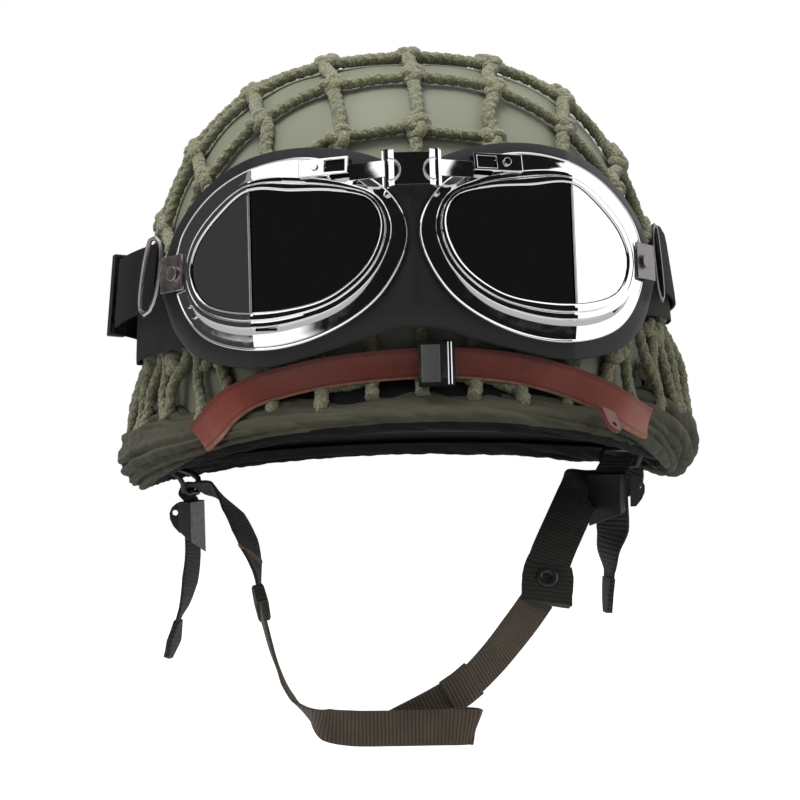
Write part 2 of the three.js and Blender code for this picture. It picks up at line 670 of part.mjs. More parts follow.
// Middle and direction of the bar that the webbing goes round
const BAIL_BARS = {
  left: { x: -98, y: -5, z: -9, a: 0.25, b: 0.97 },
  right: { x: 96.5, y: -5, z: -2, a: 0.66, b: -0.75 },
};
const CHIN_LEFT = [
  [-110.4, -8, -83, 0.12, 0.98, 0], [-107.6, -8, -75.5, 0.2, 0.97, 0], [-105.3, -8, -66, 0.03, 0.99, 0],
  [-102.6, -8, -59.8, 0.15, 0.98, 0], [-99.7, -7, -48.6, 0.3, 0.95, 0], [-98.2, -5.2, -38, 0.28, 0.97, 0],
  [-98.2, -5.2, -25, 0.25, 0.97, 0], [-98.2, -5.2, -13, 0.25, 0.97, 0], [-100.6, -4.4, -9.4, 0.25, 0.97, 0],
  [-98, -5, -5.9, 0.25, 0.97, 0], [-94.1, -6, -7.2, 0.22, 0.97, 0],
  [-87.3, -8, -8.6, 0.1, 0.98, -0.2], [-79.3, -13, -17.9, 0.3, 0.88, -0.3],
  [-74.1, -19, -28.5, 0.35, 0.85, -0.4], [-71.5, -25, -37.2, 0.25, 0.85, -0.5],
  [-69, -33, -48.7, 0, 0.9, -0.6], [-67.4, -41.4, -59.2, 0, 0.85, -0.65],
];
const CHIN_BAND = [
  [-67.3, -41.9, -60, 0, 0.85, -0.65], [-63.8, -53, -73, 0, 0.9, -0.5],
  [-60.4, -62, -83.2, 0.05, 0.95, -0.35], [-56, -71, -93, 0.1, 0.99, -0.12],
  [-52.3, -75.2, -98.3, 0.1, 0.98, -0.15], [-47.2, -78.4, -102.6, 0.05, 0.9, -0.42],
  [-40.4, -80.6, -106.8, 0, 0.42, -0.91], [-30, -82.8, -108.4, 0, 0.28, -0.96],
  [-11, -84, -108.9, 0, 0.28, -0.96], [8, -83.8, -109.2, 0, 0.28, -0.96],
  [18, -82.4, -109.6, -0.1, 0.28, -0.95], [23, -79.8, -109.8, -0.36, 0.25, -0.9],
  [19.5, -77.6, -109.4, -0.3, 0.28, -0.92], [10, -77.8, -109, 0, 0.37, -0.93],
];
const CHIN_BACK = [
  // x, y, z of the middle, then the direction across
  [-8.5, -74.5, -105.4, 0.1, -0.36, 0.93], [8, -74, -99.6, -0.1, -0.4, 0.9],
  [20.6, -71.5, -92.6, -0.26, -0.5, 0.8], [31.4, -68, -83.4, -0.3, -0.55, 0.76],
  [42, -59, -72.6, -0.3, -0.6, 0.73], [50.6, -50, -63, -0.3, -0.62, 0.72],
];
const CHIN_RIGHT = [
  [88.6, -8, -68.8, 0.2, -0.98, 0], [88.9, -8, -61, 0.2, -0.98, 0], [89.9, -8, -50.3, 0.14, -0.98, 0],
  [89.6, -9, -40.6, 0.45, -0.9, 0], [91.8, -9.2, -31, 0.66, -0.75, 0], [91.8, -9.2, -18, 0.66, -0.75, 0],
  [91.8, -9.2, -6, 0.66, -0.75, 0], [94, -7.3, -2, 0.66, -0.75, 0], [96.5, -5, 1, 0.66, -0.75, 0],
  [98.9, -2.7, -2, 0.66, -0.75, 0], [99.4, 1.6, -6.4, 0.62, -0.77, 0], [95.4, 10, -9.6, 0.5, -0.82, -0.2],
  [87, 13.8, -10, 0.2, -0.85, -0.45], [78, 9, -11, 0.08, -0.8, -0.55], [73.6, -5, -14.8, 0.34, -0.6, -0.7],
  [70.4, -18, -25, 0.8, -0.3, -0.5], [64.4, -29, -36, 0.9, -0.2, -0.35], [61.8, -34, -41, 0.95, -0.2, -0.3],
];
const stationsOf = (rows) => rows.map(([x, y, z, a, b, c]) => (
  { middle: at(x, y, z), across: at(a, b, c).normalize() }));

const CLAMP = { width: 23, height: 24, deep: 5.6, slot: 3.4, room: 1.4 };
const CLAMP_PLACES = {
  left: { x: -98.2, y: -5.2, z: -25, turn: 75.5, lean: 0 },
  right: { x: 91.8, y: -9.2, z: -18, turn: -48.7, lean: 0 },
};
const EAR = { reach: 6.6, high: 13.5, thick: 2, hole: 1.3 };
const EAR_PLACES = {
  left: { x: -101.6, y: -5.6, z: -20.6 },
  right: { x: 101.7, y: -14.6, z: -14.2 },
};
const KEEPER = { width: 21.5, height: 12, deep: 5.4, slot: 3 };
const BAND_KEEPER = { width: 19, height: 8, deep: 5.6, slot: 3.4 };
const SNAP_PLATE = { width: 23, height: 20.5, thick: 3.4, x: 57, y: -42.4, z: -52.9, turn: 14, lean: -32 };
const SNAP = { radius: 4.6, high: 2 };

// A wire loop that hangs from a small lug inside the rim
function bail(side, bar) {
  const { halfLength, lugX, lugZ, wire: radius, lugHigh, lugThick, rise } = BAIL;
  const ends = [-halfLength, halfLength].map((reach) => (
    at(bar.x + reach * bar.a, bar.y + reach * bar.b, bar.z)));
  const lugEnds = [-1, 1].map((end) => at(side * lugX, bar.y + end * Math.sign(bar.b) * halfLength, lugZ));
  const low = [0.1, 0.5, 0.9].map((share) => ends[0].clone().lerp(ends[1], share));
  const near = (i) => ends[i].clone().lerp(lugEnds[i], 0.06).add(at(0, 0, rise));
  const places = [lugEnds[0], near(0), ...low, near(1), lugEnds[1]];
  const lug = block(lugThick, halfLength * 2 + 6, lugHigh, side * (lugX + 0.4), bar.y, lugZ);
  return joined([lug, wire(places, radius, 18, 3)]);
}

function placed(piece, { x, y, z, turn, lean }) {
  return piece.rotateX(radians(lean)).rotateZ(radians(turn)).translate(x, y, z);
}

// A sleeve that clamps the free end; its own x runs across the webbing
function clampBuckle({ x, y, z, turn, lean }) {
  const clamp = cutBy(block(CLAMP.width, CLAMP.deep, CLAMP.height),
    [block(WEB.upper + CLAMP.room, CLAMP.slot, CLAMP.height + 2)]);
  return clamp.rotateX(radians(lean)).rotateZ(radians(turn)).translate(x, y, z);
}

// A half-round ear with a hole, on the outer face of a clamp buckle
function clampEar(side, { x, y, z }) {
  const outline = new THREE.Shape().moveTo(0, -EAR.high / 2).lineTo(EAR.reach * 0.35, -EAR.high / 2)
    .bezierCurveTo(EAR.reach * 1.2, -EAR.high * 0.1, EAR.reach * 1.2, EAR.high * 0.3,
      EAR.reach * 0.5, EAR.high / 2)
    .lineTo(0, EAR.high / 2).closePath();
  outline.holes.push(new THREE.Path().absarc(EAR.reach * 0.6, EAR.high * 0.18, EAR.hole, 0, Math.PI * 2));
  const piece = new THREE.ExtrudeGeometry(outline, {
    depth: EAR.thick, curveSegments: 5, bevelEnabled: false,
  });
  piece.translate(0, 0, -EAR.thick / 2).rotateX(Math.PI / 2);
  if (side < 0) piece.rotateZ(Math.PI);
  return piece.translate(x, y, z);
}

// A sleeve round the webbing, set square to its run at one station
function sleeve(rows, index, { width, height, deep, slot }, webWidth) {
  const stations = stationsOf(rows);
  const { middle, across } = stations[index];
  const along = stations[Math.min(index + 1, rows.length - 1)].middle.clone()
    .sub(stations[Math.max(index - 1, 0)].middle).normalize();
  const side = across.clone().addScaledVector(along, -across.dot(along)).normalize();
  const out = side.clone().cross(along).normalize();
  const frame = cutBy(block(width, height, deep), [block(webWidth + 2 * GAP, height + 2, slot)]);
  const matrix = new THREE.Matrix4().makeBasis(side, along, out).setPosition(middle);
  return frame.applyMatrix4(matrix);
}

// Finishes and the scene graph

const FINISH = {
  steel: { color: '#6f7560', roughness: 0.6, metalness: 0.2 },
  liner: { color: '#161616', roughness: 0.7, metalness: 0 },
  net: { color: '#76745a', roughness: 1, metalness: 0 },
  hem: { color: '#474636', roughness: 1, metalness: 0 },
  pad: { color: '#322f33', roughness: 0.8, metalness: 0 },
  chrome: { color: '#e6e6e8', roughness: 0.05, metalness: 1 },
  lens: { color: '#101012', roughness: 0.05, metalness: 0.6 },
  nickel: { color: '#a39a94', roughness: 0.3, metalness: 1 },
  elastic: { color: '#262427', roughness: 0.95, metalness: 0 },
  band: { color: '#2f302b', roughness: 0.95, metalness: 0 },
  leather: { color: '#7c3c30', roughness: 0.5, metalness: 0 },
  black: { color: '#2b2b2d', roughness: 0.4, metalness: 0.3 },
  webbing: { color: '#2f3129', roughness: 0.95, metalness: 0 },
  brownWebbing: { color: '#4b4236', roughness: 0.95, metalness: 0 },
};

const helmet = new THREE.Group();
helmet.position.z = -CROWN_SEAT;
const goggles = new THREE.Group();
goggles.position.copy(bridgeAt);
goggles.rotation.copy(leanBack);
helmet.add(goggles);

function addTo(group, name, geometry, finish) {
  const mesh = new THREE.Mesh(geometry, new THREE.MeshStandardMaterial(FINISH[finish]));
  mesh.name = name;
  group.add(mesh);
}
const onHelmet = (name, geometry, finish) => addTo(helmet, name, geometry, finish);
const onGoggles = (name, geometry, finish) => addTo(goggles, name, geometry, finish);

onHelmet('steel_shell', steelShell(), 'steel');
onHelmet('liner', liner(), 'liner');
onHelmet('net_cover', netCover(), 'net');
onHelmet('hem_band', hemBand(), 'hem');
onHelmet('helmet_band', helmetBand(), 'band');
onHelmet('goggle_strap', wrap(ELASTIC_ROUTE, ELASTIC.thick, 40), 'elastic');
onHelmet('goggle_strap_tab', wrap(ELASTIC_FRONT, ELASTIC.thick, 8), 'elastic');
onHelmet('goggle_slider', goggleSlider(), 'black');
onHelmet('leather_strap_under', leatherLayer(0, LEATHER.inset), 'leather');
onHelmet('leather_strap', leatherLayer(LEATHER.layerStep, 0), 'leather');
onHelmet('leather_buckle', leatherBuckle(), 'black');
onHelmet('leather_loop', leatherLoop(), 'leather');
onHelmet('goggle_pad', gogglePad(), 'pad');

onGoggles('bridge_bar', bridgeBar(), 'chrome');
for (const [name, side] of [['left', -1], ['right', 1]]) {
  onGoggles(`goggle_frame_${name}`, goggleFrame(side), 'chrome');
  onGoggles(`lens_${name}_front`, lensPane(side, false), 'lens');
  onGoggles(`lens_${name}_side`, lensPane(side, true), 'lens');
  onGoggles(`bridge_clip_${name}`, bridgeClip(side), 'chrome');
  onGoggles(`bridge_screw_${name}`, bridgeScrew(side), 'chrome');
  onGoggles(`strap_bracket_${name}`, strapBracket(side), 'nickel');
  onGoggles(`bracket_rivet_${name}`, bracketRivet(side), 'nickel');
  onHelmet(`bail_${name}`, bail(side, BAIL_BARS[name]), 'black');
  onHelmet(`chin_buckle_${name}`, clampBuckle(CLAMP_PLACES[name]), 'black');
  onHelmet(`chin_tab_${name}`, clampEar(side, EAR_PLACES[name]), 'black');
}

onHelmet('chin_strap_left', ribbon(stationsOf(CHIN_LEFT), WEB.upper, WEB.thick, 48), 'webbing');
onHelmet('chin_strap_right', ribbon(stationsOf(CHIN_RIGHT), WEB.upper, WEB.thick, 51), 'webbing');
onHelmet('strap_keeper', sleeve(CHIN_LEFT, 16, KEEPER, WEB.upper), 'black');
onHelmet('chin_band', ribbon(stationsOf(CHIN_BAND), WEB.lower, WEB.thick, 34), 'brownWebbing');
onHelmet('chin_band_back', ribbon(stationsOf(CHIN_BACK), WEB.lower, WEB.thick, 14), 'brownWebbing');
onHelmet('band_keeper', sleeve(CHIN_BACK, 2, BAND_KEEPER, WEB.lower), 'brownWebbing');
const snapBlock = block(SNAP_PLATE.width, SNAP_PLATE.thick, SNAP_PLATE.height);
onHelmet('snap_plate', placed(snapBlock, SNAP_PLATE), 'webbing');
onHelmet('chin_snap', placed(new THREE.CylinderGeometry(SNAP.radius, SNAP.radius, SNAP.high, 16)
  .translate(1, -(SNAP_PLATE.thick + SNAP.high) / 2 - GAP, 1.5), SNAP_PLATE), 'black');

export default helmet;
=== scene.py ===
# %% [markdown]
# # A steel helmet in a cord net, with goggles on its front
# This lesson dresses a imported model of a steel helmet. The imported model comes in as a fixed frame, in
# metres, with +Z up and the front towards -Y. Each step makes one piece or one finish, says what it is on
# the real object, and sets it exactly where the frame has it.

import math

import bmesh
import bpy
import numpy as np
from mathutils import Matrix, Vector


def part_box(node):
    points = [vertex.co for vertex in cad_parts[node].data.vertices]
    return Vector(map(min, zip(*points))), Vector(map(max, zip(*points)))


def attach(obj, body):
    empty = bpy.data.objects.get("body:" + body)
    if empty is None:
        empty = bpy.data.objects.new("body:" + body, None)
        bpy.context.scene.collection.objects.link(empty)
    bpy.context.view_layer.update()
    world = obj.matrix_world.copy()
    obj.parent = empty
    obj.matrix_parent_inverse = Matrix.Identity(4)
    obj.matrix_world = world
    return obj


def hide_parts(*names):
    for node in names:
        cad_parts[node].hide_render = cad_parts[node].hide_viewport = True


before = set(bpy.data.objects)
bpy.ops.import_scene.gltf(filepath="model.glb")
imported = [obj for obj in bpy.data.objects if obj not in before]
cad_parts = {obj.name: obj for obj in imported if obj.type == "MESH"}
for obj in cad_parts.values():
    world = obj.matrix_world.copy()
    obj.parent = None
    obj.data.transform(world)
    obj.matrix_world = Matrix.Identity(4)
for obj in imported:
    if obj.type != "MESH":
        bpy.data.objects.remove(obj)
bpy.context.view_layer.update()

# %% [markdown]
# ## Small tools for meshes
# Sizes in this lesson are in millimetres above the lowest point of the side rim, as a maker would measure a
# helmet that stands on a bench. One function turns them into the frame's metres. Most pieces are swept: a
# list of sections with the same number of points, joined into a skin of quads that also gets a UV map, so
# that a weave can follow the strap.

# %% Sweeping sections into a mesh
MM = 0.001
CROWN_SEAT = 173.1


def to_frame(points):
    out = np.asarray(points, dtype=float) * MM
    out[..., 2] -= CROWN_SEAT * MM
    return out


def new_object(name, mesh, material):
    obj = bpy.data.objects.new(name, mesh)
    bpy.context.collection.objects.link(obj)
    if material is not None:
        mesh.materials.clear()
        mesh.materials.append(material)
    return obj


def smooth(mesh, angle=35):
    mesh.shade_smooth()
    mesh.set_sharp_from_angle(angle=math.radians(angle))


def swept(name, sections, material, closed_path=False, closed_ring=True, along=None, across=None, sharp=35):
    sections = np.asarray(sections, dtype=float)
    count, ring = sections.shape[:2]
    rows = count if closed_path else count - 1
    cols = ring if closed_ring else ring - 1
    along = np.arange(rows + 1) if along is None else along
    across = np.arange(cols + 1) if across is None else across
    verts = to_frame(sections.reshape(-1, 3))
    faces, uvs = [], []
    for i in range(rows):
        k = (i + 1) % count
        for j in range(cols):
            m = (j + 1) % ring
            faces.append((i * ring + j, i * ring + m, k * ring + m, k * ring + j))
            uvs += [(along[i], across[j]), (along[i], across[j + 1]),
                    (along[i + 1], across[j + 1]), (along[i + 1], across[j])]
    if not closed_path and closed_ring:
        faces.append(tuple(range(ring))[::-1])
        faces.append(tuple((count - 1) * ring + j for j in range(ring)))
        uvs += [(along[0], across[j]) for j in range(ring)][::-1]
        uvs += [(along[rows], across[j]) for j in range(ring)]
    mesh = bpy.data.meshes.new(name)
    mesh.from_pydata(verts.tolist(), [], faces)
    layer = mesh.uv_layers.new(name="run")
    layer.data.foreach_set("uv", np.asarray(uvs, dtype=float).ravel())
    tidy = bmesh.new()
    tidy.from_mesh(mesh)
    bmesh.ops.recalc_face_normals(tidy, faces=tidy.faces)
    tidy.to_mesh(mesh)
    tidy.free()
    smooth(mesh, sharp)
    return new_object(name, mesh, material)


def stands_for(obj, slot, *nodes):
    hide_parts(*nodes)
    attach(obj, "root")
    print(f"{obj.name}: {len(obj.data.polygons)} faces for {', '.join(nodes)}")
    return obj


# %% [markdown]
# A smooth curve through a short table of stations gives every strap its route. This is the centripetal
# spline, which doesn't overshoot between stations that lie unevenly.

# %% Curve through stations
def spline(stations, shares, closed=False):
    p = np.asarray(stations, dtype=float)
    count = len(p)
    out = []
    for share in shares:
        place = share * (count if closed else count - 1)
        i = min(int(math.floor(place)), count - 1 if closed else count - 2)
        t = place - i
        if closed:
            p0, p1, p2, p3 = (p[(i + k) % count] for k in (-1, 0, 1, 2))
        else:
            p1, p2 = p[i], p[i + 1]
            p0 = p[i - 1] if i > 0 else 2 * p[0] - p[1]
            p3 = p[i + 2] if i + 2 < count else 2 * p[-1] - p[-2]
        d0, d1, d2 = (max(np.linalg.norm(b - a) ** 0.5, 1e-4)
                      for a, b in ((p0, p1), (p1, p2), (p2, p3)))
        m1 = ((p1 - p0) / d0 - (p2 - p0) / (d0 + d1) + (p2 - p1) / d1) * d1
        m2 = ((p2 - p1) / d1 - (p3 - p1) / (d1 + d2) + (p3 - p2) / d2) * d1
        squared = -3 * p1 + 3 * p2 - 2 * m1 - m2
        cubed = 2 * p1 - 2 * p2 + m1 + m2
        out.append(p1 + m1 * t + squared * t ** 2 + cubed * t ** 3)
    return np.array(out)


def unit(v):
    return v / np.maximum(np.linalg.norm(v, axis=-1, keepdims=True), 1e-9)


def run_along(points):
    steps = np.linalg.norm(np.diff(points, axis=0), axis=1)
    return np.concatenate([[0], np.cumsum(steps)])


# %% [markdown]
# ## The dome's own surface
# Net, hem, straps and band all lie on the dome, so one function for its surface keeps them together. The
# turn runs from the front towards +X. A row of 0 is the crown, 1 is the knee where the dome meets the
# flared edge, and 2 is the rim. It could be measured off the mesh with ray casts, but a formula is exact.

# %% Dome surface
HALF_WIDTH, FRONT_REACH, REAR_REACH, HEIGHT = 112.0, 122.0, 128.0, 180.0
PLAN_POWER, DOME_POWER, SIDE_DOME_POWER = 2.1, 2.6, 0.15
KNEE, WALL = 28.0, 1.4
FLARE = (22.0, 8.5, 13.0)
RIM = (22.0, 0.0, 7.0)


def mix_round(theta, front_side_rear):
    front, side, rear = front_side_rear
    end = np.where(np.cos(theta) > 0, front, rear)
    return side + (end - side) * np.cos(theta) ** 2


def rim_height(theta):
    return mix_round(theta, RIM)


def dome_power(theta):
    return DOME_POWER + SIDE_DOME_POWER * np.sin(theta) ** 2


def shell_section(theta, row):
    theta, row = np.broadcast_arrays(np.asarray(theta, float), np.asarray(row, float))
    reach = np.where(np.cos(theta) > 0, FRONT_REACH, REAR_REACH)
    sideways = np.abs(np.sin(theta) / HALF_WIDTH) ** PLAN_POWER
    lengthways = np.abs(np.cos(theta) / reach) ** PLAN_POWER
    radius = (sideways + lengthways) ** (-1 / PLAN_POWER)
    knee = rim_height(theta) + KNEE
    turn = np.clip(row, 0, 1) * math.pi / 2
    power = 2 / dome_power(theta)
    fall = np.clip(row - 1, 0, 9)
    out = radius * np.sin(turn) ** power + mix_round(theta, FLARE) * fall ** 2
    z = knee + (HEIGHT - knee) * np.maximum(np.cos(turn), 0) ** power * (row <= 1) - KNEE * fall
    return out, z


def polar(theta, radius, z):
    x, y = radius * np.sin(theta), -radius * np.cos(theta)
    return np.stack(np.broadcast_arrays(x, y, z), axis=-1)


def shell_point(theta, row, lift=0.0):
    step = 1e-3
    point = polar(theta, *shell_section(theta, row))
    down = polar(theta, *shell_section(theta, np.minimum(2, row + step))) - polar(
        theta, *shell_section(theta, np.maximum(step / 10, row - step)))
    side = polar(theta + step, *shell_section(theta + step, row)) - polar(
        theta - step, *shell_section(theta - step, row))
    normal = unit(np.cross(side, down))
    facing = (normal * (point - np.array([0, 0, KNEE]))).sum(-1, keepdims=True)
    normal = np.where(facing < 0, -normal, normal)
    return point + normal * np.asarray(lift, float)[..., None]


def row_at_height(theta, z):
    knee = rim_height(theta) + KNEE
    share = np.clip((z - knee) / (HEIGHT - knee), 0, 1)
    above = np.arccos(np.clip(share ** (dome_power(theta) / 2), 0, 1)) / (math.pi / 2)
    return np.where(z < knee, 1 + (knee - z) / KNEE, above)


def around(theta, z, lift):
    row = np.minimum(row_at_height(theta, z), 2)
    outward = shell_point(theta, row, np.ones_like(row)) - shell_point(theta, row, np.zeros_like(row))
    slope = np.hypot(outward[..., 0], outward[..., 1])
    radius, _ = shell_section(theta, row)
    return polar(theta, radius + lift / slope, z)


print("front of the dome at the knee:", np.round(shell_point(np.array(0.0), np.array(1.0)), 1))

# %% [markdown]
# ## Shader tools
# Every finish here is made of nodes, with no pictures. Effects that several finishes share are built once
# as node groups: cloudy variation of colour, the ribs of woven webbing, fine leather grain, and the fibres
# of spun cord. Each group gives only colours, masks and heights, and the surface shader stays in the
# material.

# %% Node helpers
def add_node(tree, kind, inputs=None, **settings):
    made = tree.nodes.new(kind)
    for key, value in settings.items():
        setattr(made, key, value)
    for key, value in (inputs or {}).items():
        if isinstance(value, bpy.types.NodeSocket):
            tree.links.new(value, made.inputs[key])
        else:
            made.inputs[key].default_value = value
    return made


def math_node(tree, operation, first, second=0.0):
    return add_node(tree, "ShaderNodeMath", {0: first, 1: second}, operation=operation).outputs[0]


def ranged(tree, value, low, high, to_low=0.0, to_high=1.0):
    made = add_node(tree, "ShaderNodeMapRange", {"Value": value})
    for key, number in (("From Min", low), ("From Max", high), ("To Min", to_low), ("To Max", to_high)):
        made.inputs[key].default_value = number
    return made.outputs["Result"]


def shader_group(name, inputs, outputs):
    group = bpy.data.node_groups.new(name, "ShaderNodeTree")
    for label, kind, value in inputs:
        sock = group.interface.new_socket(name=label, in_out="INPUT", socket_type=f"NodeSocket{kind}")
        if value is not None:
            sock.default_value = value
    for label, kind in outputs:
        group.interface.new_socket(name=label, in_out="OUTPUT", socket_type=f"NodeSocket{kind}")
    return group, group.nodes.new("NodeGroupInput"), group.nodes.new("NodeGroupOutput")


# %% [markdown]
# No real surface has one even colour. The first group blends two colours by a soft noise.

# %% Cloudy variation group
cloud_group, cloud_in, cloud_out = shader_group(
    "cloudy colour",
    [("Vector", "Vector", None), ("Scale", "Float", 40.0), ("Amount", "Float", 0.5),
     ("Light", "Color", (1, 1, 1, 1)), ("Dark", "Color", (0, 0, 0, 1))],
    [("Color", "Color"), ("Mask", "Float")])
cloud = add_node(cloud_group, "ShaderNodeTexNoise",
                 {"Vector": cloud_in.outputs["Vector"], "Scale": cloud_in.outputs["Scale"], "Detail": 6.0,
                  "Roughness": 0.62})
cloud_mask = ranged(cloud_group, cloud.outputs["Fac"], 0.32, 0.68)
cloud_share = math_node(cloud_group, "MULTIPLY", cloud_mask, cloud_in.outputs["Amount"])
cloud_mix = add_node(cloud_group, "ShaderNodeMix", data_type="RGBA")
cloud_group.links.new(cloud_share, cloud_mix.inputs["Factor"])
cloud_group.links.new(cloud_in.outputs["Light"], cloud_mix.inputs[6])
cloud_group.links.new(cloud_in.outputs["Dark"], cloud_mix.inputs[7])
cloud_group.links.new(cloud_mix.outputs[2], cloud_out.inputs["Color"])
cloud_group.links.new(cloud_mask, cloud_out.inputs["Mask"])

# %% [markdown]
# Woven webbing has ribs across the strap at one pitch, and each is a row of threads at another pitch. The
# rows are set half a thread aside from each other, as in a plain weave.

# %% Woven ribs group
rib_group, rib_in, rib_out = shader_group(
    "woven ribs",
    [("Run", "Vector", None), ("Rib pitch", "Float", 2.1), ("Thread pitch", "Float", 0.9)],
    [("Height", "Float"), ("Groove", "Float")])
rib_split = add_node(rib_group, "ShaderNodeSeparateXYZ", {0: rib_in.outputs["Run"]})
rib_turn = math_node(rib_group, "DIVIDE", rib_split.outputs["X"], rib_in.outputs["Rib pitch"])
thread_turn = math_node(rib_group, "DIVIDE", rib_split.outputs["Y"], rib_in.outputs["Thread pitch"])
rib_row = math_node(rib_group, "FLOOR", rib_turn)
thread_shift = math_node(rib_group, "ADD", thread_turn, math_node(rib_group, "MULTIPLY", rib_row, 0.5))
rib_wave = math_node(rib_group, "ABSOLUTE", math_node(
    rib_group, "SINE", math_node(rib_group, "MULTIPLY", rib_turn, math.pi)))
thread_wave = math_node(rib_group, "ABSOLUTE", math_node(
    rib_group, "SINE", math_node(rib_group, "MULTIPLY", thread_shift, math.pi)))
rib_height = math_node(rib_group, "MULTIPLY", rib_wave, ranged(rib_group, thread_wave, 0, 0.7, 0.55, 1.0))
rib_group.links.new(rib_height, rib_out.inputs["Height"])
rib_group.links.new(ranged(rib_group, rib_height, 0.12, 0.6, 1.0, 0.0), rib_out.inputs["Groove"])

# %% [markdown]
# Leather, pad skin and moulded plastic share a fine grain: small cells with creases between them, over a
# softer noise.

# %% Grain group
grain_group, grain_in, grain_out = shader_group(
    "fine grain", [("Vector", "Vector", None), ("Scale", "Float", 900.0)],
    [("Height", "Float"), ("Crease", "Float")])
grain_cells = add_node(grain_group, "ShaderNodeTexVoronoi",
                       {"Vector": grain_in.outputs["Vector"], "Scale": grain_in.outputs["Scale"]},
                       feature="DISTANCE_TO_EDGE")
grain_noise = add_node(grain_group, "ShaderNodeTexNoise",
                       {"Vector": grain_in.outputs["Vector"],
                        "Scale": math_node(grain_group, "MULTIPLY", grain_in.outputs["Scale"], 0.22),
                        "Detail": 5.0})
grain_bump = ranged(grain_group, grain_cells.outputs["Distance"], 0.0, 0.22)
grain_height = math_node(grain_group, "ADD", math_node(grain_group, "MULTIPLY", grain_bump, 0.5),
                         math_node(grain_group, "MULTIPLY", grain_noise.outputs["Fac"], 0.8))
grain_group.links.new(grain_height, grain_out.inputs["Height"])
grain_group.links.new(math_node(grain_group, "SUBTRACT", 1.0, grain_bump), grain_out.inputs["Crease"])

# %% [markdown]
# Spun cotton is a fuzz of short fibres, bright on their tops and dark in the gaps.

# %% Spun fibre group
fibre_group, fibre_in, fibre_out = shader_group(
    "spun fibre", [("Vector", "Vector", None), ("Scale", "Float", 420.0)],
    [("Height", "Float"), ("Shade", "Float")])
fibre_cells = add_node(fibre_group, "ShaderNodeTexVoronoi",
                       {"Vector": fibre_in.outputs["Vector"], "Scale": fibre_in.outputs["Scale"]},
                       feature="F1")
fibre_noise = add_node(fibre_group, "ShaderNodeTexNoise",
                       {"Vector": fibre_in.outputs["Vector"],
                        "Scale": math_node(fibre_group, "MULTIPLY", fibre_in.outputs["Scale"], 2.6),
                        "Detail": 4.0, "Roughness": 0.7})
fibre_round = ranged(fibre_group, fibre_cells.outputs["Distance"], 0.05, 0.75, 1.0, 0.0)
fibre_height = math_node(fibre_group, "ADD", fibre_round,
                         math_node(fibre_group, "MULTIPLY", fibre_noise.outputs["Fac"], 0.8))
fibre_group.links.new(fibre_height, fibre_out.inputs["Height"])
fibre_group.links.new(ranged(fibre_group, fibre_height, 0.5, 1.3, 1.0, 0.0), fibre_out.inputs["Shade"])


# %% [markdown]
# One helper makes a material and sets what is even all over it on the shader's own sockets. The others add
# what changes over the surface: clouded colour, a dark or pale mask, uneven gloss and a bump.


# %% A material with its shader
def new_material(name, **values):
    material = bpy.data.materials.new(name)
    material.use_nodes = True
    tree = material.node_tree
    shader = tree.nodes["Principled BSDF"]
    for key, value in values.items():
        shader.inputs[key.replace("_", " ")].default_value = value
    return material, tree, shader


def bump(tree, shader, height, strength, distance):
    made = add_node(tree, "ShaderNodeBump",
                    {"Height": height, "Strength": strength, "Distance": distance * MM})
    tree.links.new(made.outputs["Normal"], shader.inputs["Normal"])


def coordinates(tree):
    return add_node(tree, "ShaderNodeTexCoord").outputs["Object"]


def grouped(tree, group, **inputs):
    values = {key.replace("_", " "): value for key, value in inputs.items()}
    return add_node(tree, "ShaderNodeGroup", values, node_tree=group)


def run_millimetres(tree):
    return add_node(tree, "ShaderNodeUVMap", uv_map="run").outputs["UV"]


def clouded(tree, shader, vector, scale, amount, light, dark):
    made = grouped(tree, cloud_group, Vector=vector, Scale=scale, Amount=amount, Light=(*light, 1),
                   Dark=(*dark, 1))
    tree.links.new(made.outputs["Color"], shader.inputs["Base Color"])


DEEP_SHADE = (0.12, 0.12, 0.12)


def tinted(tree, shader, mask, amount, colour=DEEP_SHADE, blend="MULTIPLY"):
    source = shader.inputs["Base Color"].links[0].from_socket
    made = add_node(tree, "ShaderNodeMix", data_type="RGBA", blend_type=blend)
    tree.links.new(math_node(tree, "MULTIPLY", mask, amount), made.inputs["Factor"])
    tree.links.new(source, made.inputs[6])
    made.inputs[7].default_value = (*colour, 1)
    tree.links.new(made.outputs[2], shader.inputs["Base Color"])


def mottled(tree, where, scale, **detail):
    inputs = {"Vector": where, "Scale": scale, **detail}
    return add_node(tree, "ShaderNodeTexNoise", inputs).outputs["Fac"]


def uneven_gloss(tree, shader, noise, low, high, smoothest, roughest):
    gloss = ranged(tree, noise, low, high, smoothest, roughest)
    tree.links.new(gloss, shader.inputs["Roughness"])


print("groups:", [g.name for g in bpy.data.node_groups])

# %% [markdown]
# ## Finishes
# The shell is satin olive paint over steel, a little cloudy, with the fine orange peel of sprayed paint.
# The chrome is a smooth mirror that only faint wiping marks disturb. Cloth, cord and webbing scatter light
# and have sheen, so they look soft at their edges.

# %% Paint and plastic
shell_paint, tree, shader = new_material("olive shell paint", Roughness=0.46, Specular_IOR_Level=0.42)
where = coordinates(tree)
clouded(tree, shader, where, 9.0, 0.6, (0.190, 0.200, 0.146), (0.146, 0.154, 0.110))
bump(tree, shader, mottled(tree, where, 620.0, Detail=2.0), 0.22, 0.12)
uneven_gloss(tree, shader, mottled(tree, where, 26.0, Detail=5.0), 0.3, 0.7, 0.4, 0.54)

# Painted shade: the shell's inner faces get a near-black finish for the dark inside of the bowl.
inside_painted_shade, tree, shader = new_material("black painted shade inside", Roughness=0.6, Specular_IOR_Level=0.3)
clouded(tree, shader, coordinates(tree), 20.0, 0.6, (0.010, 0.010, 0.010), (0.005, 0.005, 0.005))

